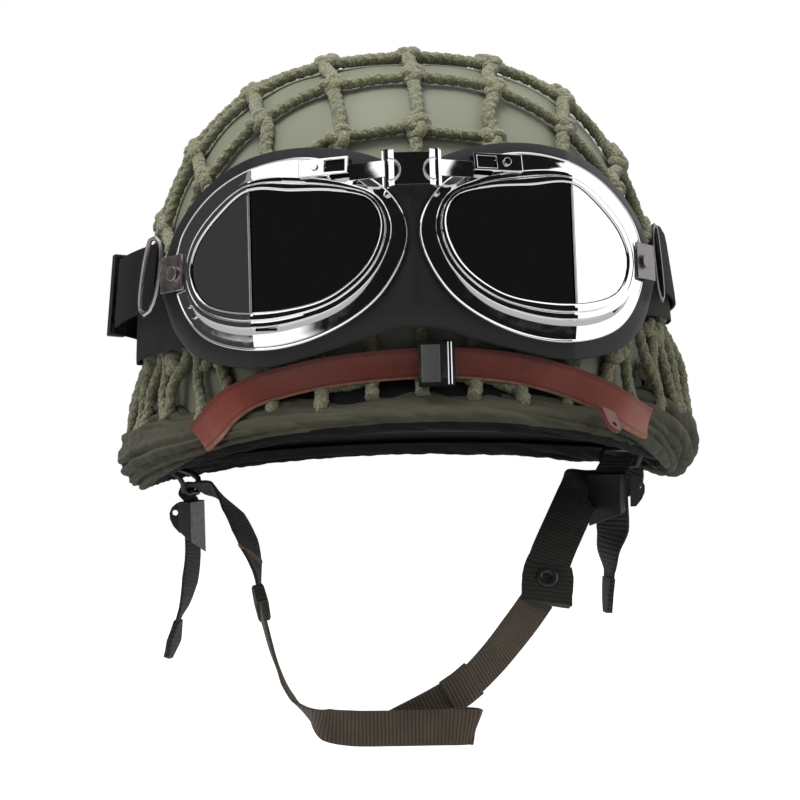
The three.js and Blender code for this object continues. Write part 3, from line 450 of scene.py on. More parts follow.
liner_plastic, tree, shader = new_material("black liner", Roughness=0.5)
where = coordinates(tree)
clouded(tree, shader, where, 22.0, 0.6, (0.012, 0.012, 0.013), (0.006, 0.006, 0.006))
grain = grouped(tree, grain_group, Vector=where, Scale=420.0)
bump(tree, shader, grain.outputs["Height"], 0.25, 0.3)

# %% [markdown]
# The net's cord is soft spun cotton: fibres stand out of it, and the gaps between them are dark. The hem is
# a thin plain weave with deep folds, and the folds hand their depth on to the finish as an attribute of
# painted crease shade, which darkens the fold valleys.

# %% Cord, hem and painted shade
cord_cotton, tree, shader = new_material("olive net cord", Roughness=0.95, Sheen_Weight=0.35,
                                         Sheen_Roughness=0.5, Specular_IOR_Level=0.15)
where = coordinates(tree)
clouded(tree, shader, where, 55.0, 0.75, (0.300, 0.298, 0.182), (0.190, 0.188, 0.112))
fibre = grouped(tree, fibre_group, Vector=where, Scale=780.0)
tinted(tree, shader, fibre.outputs["Shade"], 0.5)
bump(tree, shader, fibre.outputs["Height"], 0.8, 0.65)

hem_cloth, tree, shader = new_material("dark olive hem cloth", Roughness=0.9, Sheen_Weight=0.08,
                                       Sheen_Roughness=0.5, Specular_IOR_Level=0.2)
where = coordinates(tree)
clouded(tree, shader, where, 16.0, 0.8, (0.064, 0.062, 0.041), (0.033, 0.032, 0.021))
hem_weave = grouped(tree, rib_group, Run=run_millimetres(tree), Rib_pitch=0.7, Thread_pitch=0.7)
tinted(tree, shader, hem_weave.outputs["Groove"], 0.15)
# Painted shade: the fold valleys are darkened nearly to the deep shade colour.
hem_painted_crease_shade = add_node(tree, "ShaderNodeAttribute", attribute_name="painted_crease_shade").outputs["Fac"]
tinted(tree, shader, hem_painted_crease_shade, 0.95)
wrinkle = mottled(tree, where, 60.0, Detail=4.0, Distortion=0.6)
faint_weave = math_node(tree, "MULTIPLY", hem_weave.outputs["Height"], 0.1)
bump(tree, shader, math_node(tree, "ADD", wrinkle, faint_weave), 0.5, 0.8)

# Near-black painted shade: the hem under the rim and the strip above the hem in front take it.
painted_shade_black, tree, shader = new_material("black painted shade", Roughness=0.85, Specular_IOR_Level=0.2)
where = coordinates(tree)
clouded(tree, shader, where, 45.0, 0.8, (0.010, 0.010, 0.010), (0.004, 0.004, 0.004))
bump(tree, shader, mottled(tree, where, 120.0, Detail=3.0), 0.4, 0.8)

# %% [markdown]
# Webbing, elastic, band and stripe are all ribbed weaves that differ only in colour, in the pitch of their
# ribs and threads, and in how deep and soft they are. One function makes them all.


# %% Woven straps
def woven(name, light, dark, rib, thread, deep, shade=0.5, sheen=0.2):
    material, tree, shader = new_material(name, Roughness=0.88, Sheen_Weight=sheen,
                                          Sheen_Roughness=0.45, Specular_IOR_Level=0.25)
    clouded(tree, shader, coordinates(tree), 60.0, 0.8, light, dark)
    ribs = grouped(tree, rib_group, Run=run_millimetres(tree), Rib_pitch=rib, Thread_pitch=thread)
    tinted(tree, shader, ribs.outputs["Groove"], shade)
    bump(tree, shader, ribs.outputs["Height"], 0.8, deep)
    return material


dark_webbing = woven("dark olive webbing", (0.036, 0.038, 0.030), (0.022, 0.024, 0.018),
                     rib=2.1, thread=1.2, deep=0.5, shade=0.7)
brown_webbing = woven("brown olive webbing", (0.112, 0.085, 0.060), (0.066, 0.051, 0.037),
                      rib=1.6, thread=1.1, deep=0.5, shade=0.7)
elastic_weave = woven("black elastic", (0.008, 0.0076, 0.0082), (0.005, 0.0047, 0.005),
                      rib=1.1, thread=1.4, deep=0.2, shade=0.4, sheen=0.02)
tan_thread = woven("tan stripe thread", (0.30, 0.17, 0.08), (0.16, 0.09, 0.04),
                   rib=0.9, thread=1.1, deep=0.2, shade=0.3)
band_weave = woven("olive black band", (0.021, 0.023, 0.019), (0.013, 0.014, 0.012),
                   rib=1.2, thread=1.2, deep=0.25, shade=0.5, sheen=0.04)

# %% [markdown]
# The leather is dyed red-brown and polished, and a painted highlight makes it paler where its ends bend
# down. A pressed seam line runs along both edges. All of this follows the strap, so it reads the strap's own
# run and width, in millimetres, from the UV map.

# %% Leather
LEATHER_MIDDLE, BEND_MIDDLE, SEAM_ASIDE = 6.7, 88.0, 5.0
leather_finish, tree, shader = new_material("red brown leather", Roughness=0.36, Coat_Weight=0.2,
                                            Coat_Roughness=0.25, Specular_IOR_Level=0.38)
where = coordinates(tree)
clouded(tree, shader, where, 38.0, 0.7, (0.172, 0.038, 0.026), (0.105, 0.022, 0.014))
grain = grouped(tree, grain_group, Vector=where, Scale=1150.0)
tinted(tree, shader, grain.outputs["Crease"], 0.25)
leather_run = add_node(tree, "ShaderNodeSeparateXYZ", {0: run_millimetres(tree)})


def distance_from(tree, value, middle):
    return math_node(tree, "ABSOLUTE", math_node(tree, "SUBTRACT", value, middle))


# Painted highlight: towards both ends the colour is mixed, in patches, to a pale pink.
bend_far = distance_from(tree, leather_run.outputs["X"], BEND_MIDDLE)
patchy = ranged(tree, mottled(tree, where, 30.0), 0.3, 0.6, 0.35, 1.0)
painted_end_highlight = math_node(tree, "MULTIPLY", ranged(tree, bend_far, 62.0, 112.0), patchy)
tinted(tree, shader, painted_end_highlight, 0.3, (0.42, 0.17, 0.135), "MIX")
leather_rim = distance_from(tree, leather_run.outputs["Y"], LEATHER_MIDDLE)
tinted(tree, shader, ranged(tree, leather_rim, 4.6, 6.9), 0.55)
seam_far = distance_from(tree, leather_rim, SEAM_ASIDE)
tinted(tree, shader, ranged(tree, seam_far, 0.0, 0.4, 1.0, 0.0), 0.5)
uneven_gloss(tree, shader, leather_rim, 4.4, 6.6, 0.34, 0.55)
bump(tree, shader, grain.outputs["Height"], 0.3, 0.18)

leather_edge, tree, shader = new_material("tan cut edge", Roughness=0.8, Specular_IOR_Level=0.3)
clouded(tree, shader, coordinates(tree), 240.0, 0.8, (0.36, 0.19, 0.12), (0.18, 0.08, 0.05))

# %% [markdown]
# The pad is a matt synthetic skin with a fine grain. The slots in the frames are only seen as shadow, so
# they get a near-black finish.

# %% Pad skin and slot shadow
pad_skin, tree, shader = new_material("charcoal pad skin", Roughness=0.5, Sheen_Weight=0.03,
                                      Specular_IOR_Level=0.32)
where = coordinates(tree)
clouded(tree, shader, where, 30.0, 0.5, (0.014, 0.0132, 0.0150), (0.010, 0.0092, 0.0108))
grain = grouped(tree, grain_group, Vector=where, Scale=900.0)
bump(tree, shader, grain.outputs["Height"], 0.22, 0.2)

slot_black, tree, shader = new_material("slot shadow", Roughness=0.7, Specular_IOR_Level=0.1)
clouded(tree, shader, coordinates(tree), 90.0, 0.5, (0.006, 0.006, 0.006), (0.003, 0.003, 0.003))

# %% [markdown]
# Metals take nearly all their look from what they reflect. Their own part is a colour, a roughness that
# wiping and scuffing make uneven, and for the brackets a warmer plating, with a rougher copy of it for the
# right bracket whose darker colour is painted shade.

# %% Metals
chrome, tree, shader = new_material("bright chrome", Metallic=1.0, Roughness=0.05)
where = coordinates(tree)
clouded(tree, shader, where, 12.0, 0.5, (0.93, 0.93, 0.94), (0.88, 0.88, 0.89))
wiped = mottled(tree, where, 90.0, Detail=6.0, Distortion=1.5)
uneven_gloss(tree, shader, wiped, 0.35, 0.7, 0.03, 0.09)

lens_mirror, tree, shader = new_material("dark mirror lens", Metallic=1.0, Roughness=0.03)
where = coordinates(tree)
clouded(tree, shader, where, 14.0, 0.4, (0.86, 0.86, 0.88), (0.80, 0.80, 0.82))
wiped = mottled(tree, where, 60.0, Detail=7.0, Distortion=2.0)
uneven_gloss(tree, shader, wiped, 0.4, 0.75, 0.015, 0.05)

nickel, tree, shader = new_material("warm nickel", Metallic=1.0, Roughness=0.3)
where = coordinates(tree)
clouded(tree, shader, where, 120.0, 0.5, (0.60, 0.55, 0.54), (0.42, 0.38, 0.375))
uneven_gloss(tree, shader, mottled(tree, where, 260.0, Detail=6.0), 0.35, 0.7, 0.24, 0.42)

# Painted shade: a darker, rougher copy of the nickel for the right bracket.
shaded_nickel, tree, shader = new_material("nickel in painted shade", Metallic=1.0, Roughness=0.4)
clouded(tree, shader, coordinates(tree), 120.0, 0.5, (0.27, 0.25, 0.26), (0.19, 0.175, 0.18))

black_metal, tree, shader = new_material("charcoal hardware", Roughness=0.42, Specular_IOR_Level=0.5)
where = coordinates(tree)
clouded(tree, shader, where, 90.0, 0.6, (0.026, 0.026, 0.028), (0.014, 0.014, 0.015))
scuffed = mottled(tree, where, 420.0, Detail=5.0)
uneven_gloss(tree, shader, scuffed, 0.35, 0.7, 0.34, 0.52)
bump(tree, shader, scuffed, 0.15, 0.15)

grey_plate, tree, shader = new_material("grey buckle plate", Roughness=0.34, Metallic=0.3)
clouded(tree, shader, coordinates(tree), 70.0, 0.6, (0.11, 0.115, 0.115), (0.055, 0.058, 0.058))

snap_metal, tree, shader = new_material("black snap", Roughness=0.28, Specular_IOR_Level=0.6)
clouded(tree, shader, coordinates(tree), 150.0, 0.6, (0.030, 0.030, 0.031), (0.012, 0.012, 0.013))
print("materials:", len(bpy.data.materials))

# %% [markdown]
# ## Steel shell and liner
# The real shell is one pressed sheet with a rolled edge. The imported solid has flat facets, which a satin
# paint would show, so the same surface is swept again with many more steps, outside, round the rim and back
# up inside. The liner is made the same way and stays a little inside it.

# %% Bowls
LINER_GAP, LINER_WALL = 3.0, 2.5
SHELL_SIDES, LINER_SIDES = 160, 120


def bowl_skin(name, rows, sides, outer, wall, material):
    theta = np.arange(sides) / sides * math.tau
    down = [shell_point(theta, np.full(sides, row), np.full(sides, outer)) for row in rows]
    up = [shell_point(theta, np.full(sides, row), np.full(sides, outer - wall)) for row in rows[::-1]]
    middle = outer - wall / 2
    lip = [shell_point(theta, np.full(sides, rows[-1]), np.full(sides, middle + wall / 2 * math.cos(a)))
           - np.array([0, 0, wall * 0.5 * math.sin(a)]) for a in np.linspace(0, math.pi, 6)[1:-1]]
    rings = down + lip + up
    return swept(name, np.array(rings), material, sharp=50)


shell_rows = np.concatenate([[0.02, 0.05], np.linspace(0.1, 1, 34), np.linspace(1.05, 2, 16)])
shell_skin = bowl_skin("shell_skin", shell_rows, SHELL_SIDES, 0.0, WALL, shell_paint)
# The inner faces take the near-black painted shade.
shell_skin.data.materials.append(inside_painted_shade)
for face in shell_skin.data.polygons:
    if min(face.vertices) // SHELL_SIDES >= len(shell_rows) + 3:
        face.material_index = 1
stands_for(shell_skin, "shell", "steel_shell")
liner_rows = np.concatenate([[0.03, 0.07], np.linspace(0.12, 1, 26), np.linspace(1.06, 1.62, 8)])
liner_skin = bowl_skin("liner_skin", liner_rows, LINER_SIDES, -WALL - LINER_GAP, LINER_WALL, liner_plastic)
stands_for(liner_skin, "liner", "liner")

# %% [markdown]
# ## Cord net
# The net is a square mesh of spun cotton cord, knotted where the cords cross and pulled over the dome. Its
# lines are laid out flat and wrapped along the surface from the crown. Geometry Nodes then turn each line
# into three twisted strands, and set a knot at each crossing, because both repeat along a rule.

# %% Net lines on the dome
NET_PITCH, NET_SHIFT, NET_ASIDE, NET_LIFT = 35.0, -8.0, 4.5, 3.0
NET_REACH, LINE_STEP, LINES_EACH_WAY = 232, 1.75, 6
KNOT_RISE, KNOT_SPREAD, SIDE_FOOT = 1.1, 5.5, 68.0
ROW_STEPS = np.arange(0, 181) / 90
HEM_TOP = (6.5, 24.0, 14.0)


def hem_row(theta):
    return row_at_height(theta, rim_height(theta) + mix_round(theta, HEM_TOP))


def net_place(x, y):
    length, theta = np.hypot(x, y), np.arctan2(x, -y)
    rows = np.maximum(ROW_STEPS, 1e-6)[None, :]
    walk = polar(theta[:, None], *shell_section(theta[:, None], rows))
    steps = np.cumsum(np.linalg.norm(np.diff(walk, axis=1), axis=2), axis=1)
    run = np.concatenate([np.zeros((len(x), 1)), steps], 1)
    row = np.array([np.interp(length[k], run[k], ROW_STEPS) for k in range(len(x))])
    return theta, row


def sewn_in(theta, row):
    """How much a front line rises before the hem and dives into it, in mm."""
    past = row - hem_row(theta)
    rise, dive = np.clip(past / 0.1, 0, 1), np.clip((past - 0.1) / 0.08, 0, 1)
    return (1.5 * rise - 8 * dive) * (np.cos(theta) > 0.5)


rng = np.random.default_rng(11)
net_lines, net_ribs, net_knots = [], [], []
for way, lengthways in enumerate((True, False)):
    for line in range(-LINES_EACH_WAY, LINES_EACH_WAY + 1):
        fixed = line * NET_PITCH + (NET_ASIDE if lengthways else NET_SHIFT)
        run = np.arange(-NET_REACH, NET_REACH + 1, LINE_STEP)
        wander = sum(rng.normal(0, 0.9) * np.sin(run / NET_PITCH * math.pi * f + rng.uniform(0, 6))
                     for f in (0.7, 1, 2))
        x, y = (fixed + wander, run) if lengthways else (run, fixed + wander)
        theta, row = net_place(x, y)
        loose = np.abs(np.sin(theta)) < 0.72
        foot = hem_row(theta) + (0.14 if lengthways else -0.14) * (np.cos(theta) > 0.5) + 0.05
        inside = (row < foot) & (loose | (row < row_at_height(theta, SIDE_FOOT)))
        cross = (run - (NET_SHIFT if lengthways else NET_ASIDE)) / NET_PITCH
        at_knot = np.exp(-((cross - np.round(cross)) * NET_PITCH / KNOT_SPREAD) ** 2)
        lift = NET_LIFT + KNOT_RISE * at_knot + 0.35 * way
        lift = lift + sewn_in(theta, row)
        points = shell_point(theta, row, lift)
        start = None
        for k in range(len(run) + 1):
            ok = k < len(run) and inside[k]
            if ok and start is None:
                start = k
            if not ok and start is not None:
                if k - start > 6:
                    (net_ribs if lengthways else net_lines).append(points[start:k])
                start = None
print("net lines:", len(net_lines) + len(net_ribs))

# %% Crossings of the net
for i in range(-LINES_EACH_WAY, LINES_EACH_WAY + 1):
    for j in range(-LINES_EACH_WAY, LINES_EACH_WAY + 1):
        x = np.array([0, 1]) + i * NET_PITCH + NET_ASIDE
        y = np.full(2, j * NET_PITCH + NET_SHIFT)
        theta, row = net_place(x, y)
        if row[0] < hem_row(theta[0]) - 0.16:
            places = shell_point(theta, row, np.full(2, NET_LIFT + 1.6))
            on_steel, off_steel = (shell_point(theta[:1], row[:1], np.full(1, h)) for h in (0.0, 5.0))
            outward = unit(off_steel - on_steel)[0]
            net_knots.append((places[0], outward, unit(places[1] - places[0])))
print("knots:", len(net_knots))

# %% [markdown]
# Below the goggle strap the mesh is drawn together over the cloth, so at the sides strands run down to the
# hem as narrow Vs and stand well off the steel. They are laid out as pairs of legs from one knot, with a
# fixed seed for what varies.

# %% Gathered strands at the sides
GATHERS = [
    # middle in degrees, pairs, half of the arc in degrees, lower edge of the elastic, lift at the foot
    (-90, 7, 47, 49.0, 10.5), (90, 8, 47, 61.0, 14.0)]
LIFT_HEAD = 3.4
for centre, pairs, half_arc, band_edge, lift_foot in GATHERS:
    for k in range(pairs):
        middle = math.radians(centre + (2 * (k + 0.5) / pairs - 1) * half_arc + rng.normal(0, 1.2))
        top = band_edge + rng.uniform(6, 12) - (k % 3 == 1) * 12
        for leg in (-1, 1):
            foot = middle + leg * rng.uniform(0.06, 0.13)
            share = np.linspace(0, 1, 30)
            theta = middle + (foot - middle) * share ** 0.8 + 0.014 * np.sin(share * 9 + k)
            bottom = rim_height(foot) + mix_round(foot, HEM_TOP) - rng.uniform(1, 8)
            z = top + (bottom - top) * share
            below = np.clip((band_edge - z) / (band_edge - bottom), 0, 1)
            stand_off = (lift_foot - LIFT_HEAD) * (1 - (1 - below) ** 2.2) * math.sin(foot) ** 4
            sway = 1.2 * below * np.sin(share * 5 + k * 2 + leg) ** 2
            net_lines.append(around(theta, z, LIFT_HEAD + stand_off + sway))
        spot = around(np.array([middle]), np.array([top]), np.array([LIFT_HEAD + 0.2]))[0]
        net_knots.append((spot, unit(spot * np.array([1, 1, 0.15])), np.array([0, 0, -1.0])))
print("with gathers:", len(net_lines), "lines,", len(net_knots), "knots")

# %% [markdown]
# Geometry Nodes need a tree with named inputs. The tool below makes one, and another runs it once over a
# mesh of lines or points and keeps the result as a plain mesh, so that no modifier is left on the piece.


# %% Geometry Nodes tools
def geometry_tree(name, inputs):
    tree = bpy.data.node_groups.new(name, "GeometryNodeTree")
    tree.interface.new_socket(name="Geometry", in_out="INPUT", socket_type="NodeSocketGeometry")
    for label, kind in inputs:
        tree.interface.new_socket(name=label, in_out="INPUT", socket_type=f"NodeSocket{kind}")
    tree.interface.new_socket(name="Geometry", in_out="OUTPUT", socket_type="NodeSocketGeometry")
    return tree, tree.nodes.new("NodeGroupInput"), tree.nodes.new("NodeGroupOutput")


def grown(name, source, tree, values, material):
    carrier = new_object(name + "_lines", source, None)
    modifier = carrier.modifiers.new("grow", "NODES")
    modifier.node_group = tree
    for item in tree.interface.items_tree:
        if item.in_out == "INPUT" and item.name in values:
            modifier[item.identifier] = values[item.name]
    evaluated = carrier.evaluated_get(bpy.context.evaluated_depsgraph_get())
    mesh = bpy.data.meshes.new_from_object(evaluated)
    mesh.name = name
    carrier.modifiers.remove(modifier)
    bpy.data.objects.remove(carrier)
    smooth(mesh, 60)
    return new_object(name, mesh, material)


def line_mesh(name, lines):
    verts, edges = [], []
    for line in lines:
        first = len(verts)
        verts += to_frame(line).tolist()
        edges += [(first + k, first + k + 1) for k in range(len(line) - 1)]
    mesh = bpy.data.meshes.new(name)
    mesh.from_pydata(verts, edges, [])
    return mesh


def finished(tree, geometry, given, result):
    real = add_node(tree, "GeometryNodeRealizeInstances", {0: geometry})
    dressed = add_node(tree, "GeometryNodeSetMaterial",
                       {"Geometry": real.outputs[0], "Material": given.outputs["Material"]})
    tree.links.new(dressed.outputs[0], result.inputs[0])


# %% [markdown]
# A cord is a circle with three lobes, swept along its line while it turns once in each lay of the twist. The
# lines that run from front to back are doubled in the knotting, so they are thicker.

# %% Twisted cord tree
cord_tree, given, result = geometry_tree(
    "twisted cord", [("Radius", "Float"), ("Strand depth", "Float"), ("Lay length", "Float"),
                     ("Step", "Float"), ("Material", "Material")])
lines = add_node(cord_tree, "GeometryNodeMeshToCurve", {0: given.outputs["Geometry"]})
stepped = add_node(cord_tree, "GeometryNodeResampleCurve",
                   {0: lines.outputs[0], "Length": given.outputs["Step"]}, mode="LENGTH")
place = add_node(cord_tree, "GeometryNodeSplineParameter")
laps = math_node(cord_tree, "DIVIDE", place.outputs["Length"], given.outputs["Lay length"])
tilt = math_node(cord_tree, "MULTIPLY", laps, math.tau)
tilted = add_node(cord_tree, "GeometryNodeSetCurveTilt", {0: stepped.outputs[0], "Tilt": tilt})

CORD_SIDES, STRANDS = 12, 3
ring = add_node(cord_tree, "GeometryNodeCurvePrimitiveCircle",
                {"Resolution": CORD_SIDES, "Radius": given.outputs["Radius"]})
index = add_node(cord_tree, "GeometryNodeInputIndex").outputs[0]
corner = math_node(cord_tree, "MULTIPLY", index, math.tau * STRANDS / CORD_SIDES)
lobe = math_node(cord_tree, "MULTIPLY", math_node(cord_tree, "COSINE", corner),
                 given.outputs["Strand depth"])
spot = add_node(cord_tree, "GeometryNodeInputPosition")
push = add_node(cord_tree, "ShaderNodeVectorMath", {0: spot.outputs[0], "Scale": lobe}, operation="SCALE")
lobed = add_node(cord_tree, "GeometryNodeSetPosition",
                 {"Geometry": ring.outputs[0], "Offset": push.outputs[0]})
skin = add_node(cord_tree, "GeometryNodeCurveToMesh",
                {"Curve": tilted.outputs[0], "Profile Curve": lobed.outputs[0], "Fill Caps": True})
finished(cord_tree, skin.outputs[0], given, result)

# %% Net cords
LAY_LENGTH, CORD_STEP, STRAND_DEPTH = 15, 2.0, 0.09
for name, paths, radius in (("net_cords", net_lines, 2.5), ("net_ribs", net_ribs, 2.95)):
    cords = grown(name, line_mesh(name, paths), cord_tree,
                  {"Radius": radius * MM, "Strand depth": STRAND_DEPTH, "Lay length": LAY_LENGTH * MM,
                   "Step": CORD_STEP * MM, "Material": cord_cotton}, cord_cotton)
    stands_for(cords, "net", "net_cover")

# %% [markdown]
# One knot is a short cord tied over itself. A closed trefoil path has the right crossings for that. A
# second tree sets a copy on each crossing, stood on the dome and turned along the cord, with sizes that vary
# a little.

# %% Knot shape
KNOT_RADIUS, KNOT_SIDES = 2.5, 7
KNOT_REACH = np.array([3.8, 4.3, 2.9])
turn = np.linspace(0, math.tau, 27)[:-1]
tied = np.stack([np.sin(turn) + 2 * np.sin(2 * turn), np.cos(turn) - 2 * np.cos(2 * turn),
                 -1.25 * np.sin(3 * turn)], -1)
tied = tied / 3 * KNOT_REACH
ahead = unit(np.roll(tied, -1, 0) - np.roll(tied, 1, 0))
beside = unit(np.cross(ahead, np.array([0, 0, 1.0]) + 0 * ahead))
above = np.cross(beside, ahead)
knot_rings = [[tied[k] + KNOT_RADIUS * (math.cos(a) * beside[k] + math.sin(a) * above[k])
               for a in np.arange(KNOT_SIDES) / KNOT_SIDES * math.tau] for k in range(len(tied))]
knot_one = swept("knot_shape", np.array(knot_rings) + np.array([0, 0, CROWN_SEAT]), cord_cotton,
                 closed_path=True)

# %% Knots set on the crossings
knot_tree, given, result = geometry_tree(
    "knots on crossings",
    [("Knot", "Object"), ("Size spread", "Float"), ("Seed", "Int"), ("Material", "Material")])
outward, cordwise = (add_node(knot_tree, "GeometryNodeInputNamedAttribute", {"Name": label},
                              data_type="FLOAT_VECTOR") for label in ("outward", "cordwise"))
stood = add_node(knot_tree, "FunctionNodeAlignEulerToVector", {"Vector": outward.outputs[0]}, axis="Z")
turned = add_node(knot_tree, "FunctionNodeAlignEulerToVector",
                  {"Rotation": stood.outputs[0], "Vector": cordwise.outputs[0]}, axis="X", pivot_axis="Z")
small = math_node(knot_tree, "SUBTRACT", 1.0, given.outputs["Size spread"])
large = math_node(knot_tree, "ADD", 1.0, given.outputs["Size spread"])
size = add_node(knot_tree, "FunctionNodeRandomValue", {"Seed": given.outputs["Seed"]}, data_type="FLOAT")
knot_tree.links.new(small, size.inputs[2])
knot_tree.links.new(large, size.inputs[3])
shape = add_node(knot_tree, "GeometryNodeObjectInfo", {"Object": given.outputs["Knot"]})
spots = add_node(knot_tree, "GeometryNodeMeshToPoints", {0: given.outputs["Geometry"]})
copies = add_node(knot_tree, "GeometryNodeInstanceOnPoints",
                  {"Points": spots.outputs[0], "Instance": shape.outputs["Geometry"],
                   "Rotation": turned.outputs[0], "Scale": size.outputs[1]})
finished(knot_tree, copies.outputs[0], given, result)

spot_mesh = bpy.data.meshes.new("knot_spots")
spot_mesh.from_pydata(to_frame([k[0] for k in net_knots]).tolist(), [], [])
for label, column in (("outward", 1), ("cordwise", 2)):
    layer = spot_mesh.attributes.new(label, "FLOAT_VECTOR", "POINT")
    layer.data.foreach_set("vector", np.array([k[column] for k in net_knots]).ravel())
net_knot_piece = grown(
    "net_knots", spot_mesh, knot_tree,
    {"Knot": knot_one, "Size spread": 0.1, "Seed": 4, "Material": cord_cotton}, cord_cotton)
bpy.data.objects.remove(knot_one)
stands_for(net_knot_piece, "net", "net_cover")

# %% [markdown]
# ## Gathered hem
# The net's edge is a strip of cloth folded under the rim and drawn tight by a string, so it bunches: thin
# in front and thick with long folds at the sides. A cloth simulation would have to pull a drawstring round
# a steel edge, which is slow and hard to steer, so the folds are pressed into a fine grid by sums of waves
# that run along the rim, and the cloth gets its thickness afterwards.

# %% Hem sections
CLOTH_GAP = 0.4


def hem_outline(theta):
    side = np.sin(theta) ** 2
    thick = mix_round(theta, (2.4, 7.5, 4.0)) + side * 0.4 * np.sin(26 * theta)
    ruffle = 1.6 * np.sin(11 * theta + 1) + 1.1 * np.sin(19 * theta + 2.2) + 0.5 * np.sin(37 * theta)
    right_rise = 9.0 * np.clip(np.sin(theta), 0, 1) ** 4
    top = row_at_height(theta, rim_height(theta) + mix_round(theta, HEM_TOP) + ruffle + right_rise)
    middle = (top + 2) / 2
    bulge = (5.0 + 0.6 * np.sin(theta)) * side ** 2
    drop = mix_round(theta, (2.4, 4.6, 3.2))
    zero, two = np.zeros_like(theta), np.full_like(theta, 2.0)
    down = np.stack([zero, zero, np.ones_like(theta)], -1)
    down = down * drop[:, None]
    inside = zero - WALL - CLOTH_GAP
    return [shell_point(theta, top - 0.1, zero + 1.2),
            shell_point(theta, top, CLOTH_GAP + thick * 0.6),
            shell_point(theta, middle, CLOTH_GAP + thick + bulge),
            shell_point(theta, two, CLOTH_GAP + thick * 0.9 + bulge * 0.4),
            shell_point(theta, two, CLOTH_GAP + thick * 0.5) - down,
            shell_point(theta, two, inside) - down,
            shell_point(theta, two, inside - 2.4) - down * 0.3,
            shell_point(theta, zero + 1.86, inside - 2.6)]


HEM_SIDES, HEM_ROWS = 720, 64
hem_theta = np.arange(HEM_SIDES) / HEM_SIDES * math.tau
hem_cut = np.stack(hem_outline(hem_theta), 1)
hem_shares = np.linspace(0, 1, HEM_ROWS)
hem_grid = np.stack([spline(hem_cut[k], hem_shares) for k in range(HEM_SIDES)])

# %% Folds pressed into the hem
hem_rng = np.random.default_rng(5)
hem_out = unit(np.cross(np.roll(hem_grid, -1, 0) - np.roll(hem_grid, 1, 0), np.gradient(hem_grid, axis=1)))
hem_heart = shell_point(hem_theta, np.full(HEM_SIDES, 1.9), np.zeros(HEM_SIDES))[:, None, :]
hem_out *= np.sign((hem_out * (hem_grid - hem_heart)).sum(-1, keepdims=True) + 1e-9)
angle, share = hem_theta[:, None], hem_shares[None, :]
left, right = np.clip(-np.sin(angle), 0, 1) ** 1.2, np.clip(np.sin(angle), 0, 1) ** 1.2
FOLD_WAVES = [
    # folds along the rim, across the cloth, depth in mm, where they are
    (1, 10.0, 1.15, left), (2, 15.0, 0.8, left), (4, 21.0, 0.3, left), (19, 9.0, 0.12, left),
    (8, 4.0, 2.2, right), (14, 6.0, 0.9, right), (5, 9.0, 0.4, right), (31, 6.0, 0.12, right),
    (21, 4.2, 0.3, 1), (34, 2.4, 0.2, 1), (47, 5.0, 0.12, 1), (66, 2.0, 0.1, 1)]
DEEP_FOLD, CREASE_SHARE = 0.75, 0.28
fold = np.zeros((HEM_SIDES, HEM_ROWS))
painted_crease_shade = np.zeros((HEM_SIDES, HEM_ROWS))
for along_count, across_count, deep, mask in FOLD_WAVES:
    phase, lean = hem_rng.uniform(0, math.tau), hem_rng.choice((-1, 1))
    stray = 0.9 * np.sin(2 * angle + phase) + 0.2 * np.sin(9 * angle + 5 * share + phase)
    wave = np.sin(along_count * angle + lean * across_count * share * math.tau / 2 + phase + stray)
    fold += deep * (2 * np.abs(wave) ** 0.6 - 1) * mask
    # The deepest folds paint shade into their valleys, in patches.
    if deep >= DEEP_FOLD:
        patchy = 0.5 + 0.5 * np.sin(3 * angle + phase + 9 * share)
        painted_crease_shade = np.maximum(painted_crease_shade, np.exp(-(wave / CREASE_SHARE) ** 2) * mask * patchy)
ease = np.sin(share * math.pi) ** 0.5
hem_grid = hem_grid + hem_out * (fold * ease)[..., None]
bunch = 0.6 + 1.4 * np.sin(angle) ** 2
# Folds pushed far in get more painted shade.
low_lying = np.clip((-fold - 0.4 * bunch) / (1.2 * bunch), 0, 1)
painted_crease_shade = np.clip(painted_crease_shade + low_lying * 0.6, 0, 1)
print("deepest fold:", round(float(-fold.min()), 2), "mm, shaded share:", round(float(painted_crease_shade.mean()), 3))

# %% [markdown]
# The grid becomes one sheet with its run and width in the UV map. The part under the rim is painted
# near-black, as painted shade.
# Solidify gives the cloth its thickness.

# %% Hem cloth
FULLEST_ROW, CLOTH_THICK = 14, 0.9
fullest = hem_grid[:, FULLEST_ROW]
around_run = run_along(np.concatenate([fullest, fullest[:1]]))
across_run = run_along(hem_grid[0])
hem_piece = swept("hem_cloth", hem_grid, hem_cloth, closed_path=True, closed_ring=False,
                  along=around_run, across=across_run, sharp=70)
hem_piece.data.materials.append(painted_shade_black)
# The painted crease shade is handed to the hem as a point attribute.
painted_crease_shade_layer = hem_piece.data.attributes.new("painted_crease_shade", "FLOAT", "POINT")
painted_crease_shade_layer.data.foreach_set("value", painted_crease_shade.ravel())
# Faces of the hem under the rim take the near-black painted shade.
for face in hem_piece.data.polygons:
    first = face.vertices[0]
    painted_shade_from = 0.56 + 0.3 * math.sin(hem_theta[first // HEM_ROWS]) ** 4
    if min(v % HEM_ROWS for v in face.vertices) > HEM_ROWS * painted_shade_from:
        face.material_index = 1
hem_wall = hem_piece.modifiers.new("cloth", "SOLIDIFY")
hem_wall.thickness, hem_wall.offset = CLOTH_THICK * MM, -1
stands_for(hem_piece, "hem", "hem_band")

# %% [markdown]
# In front a near-black strip lies flat on the steel between the hem and the leather, as painted shade for
# the shaded gap there. It runs out at both ends.

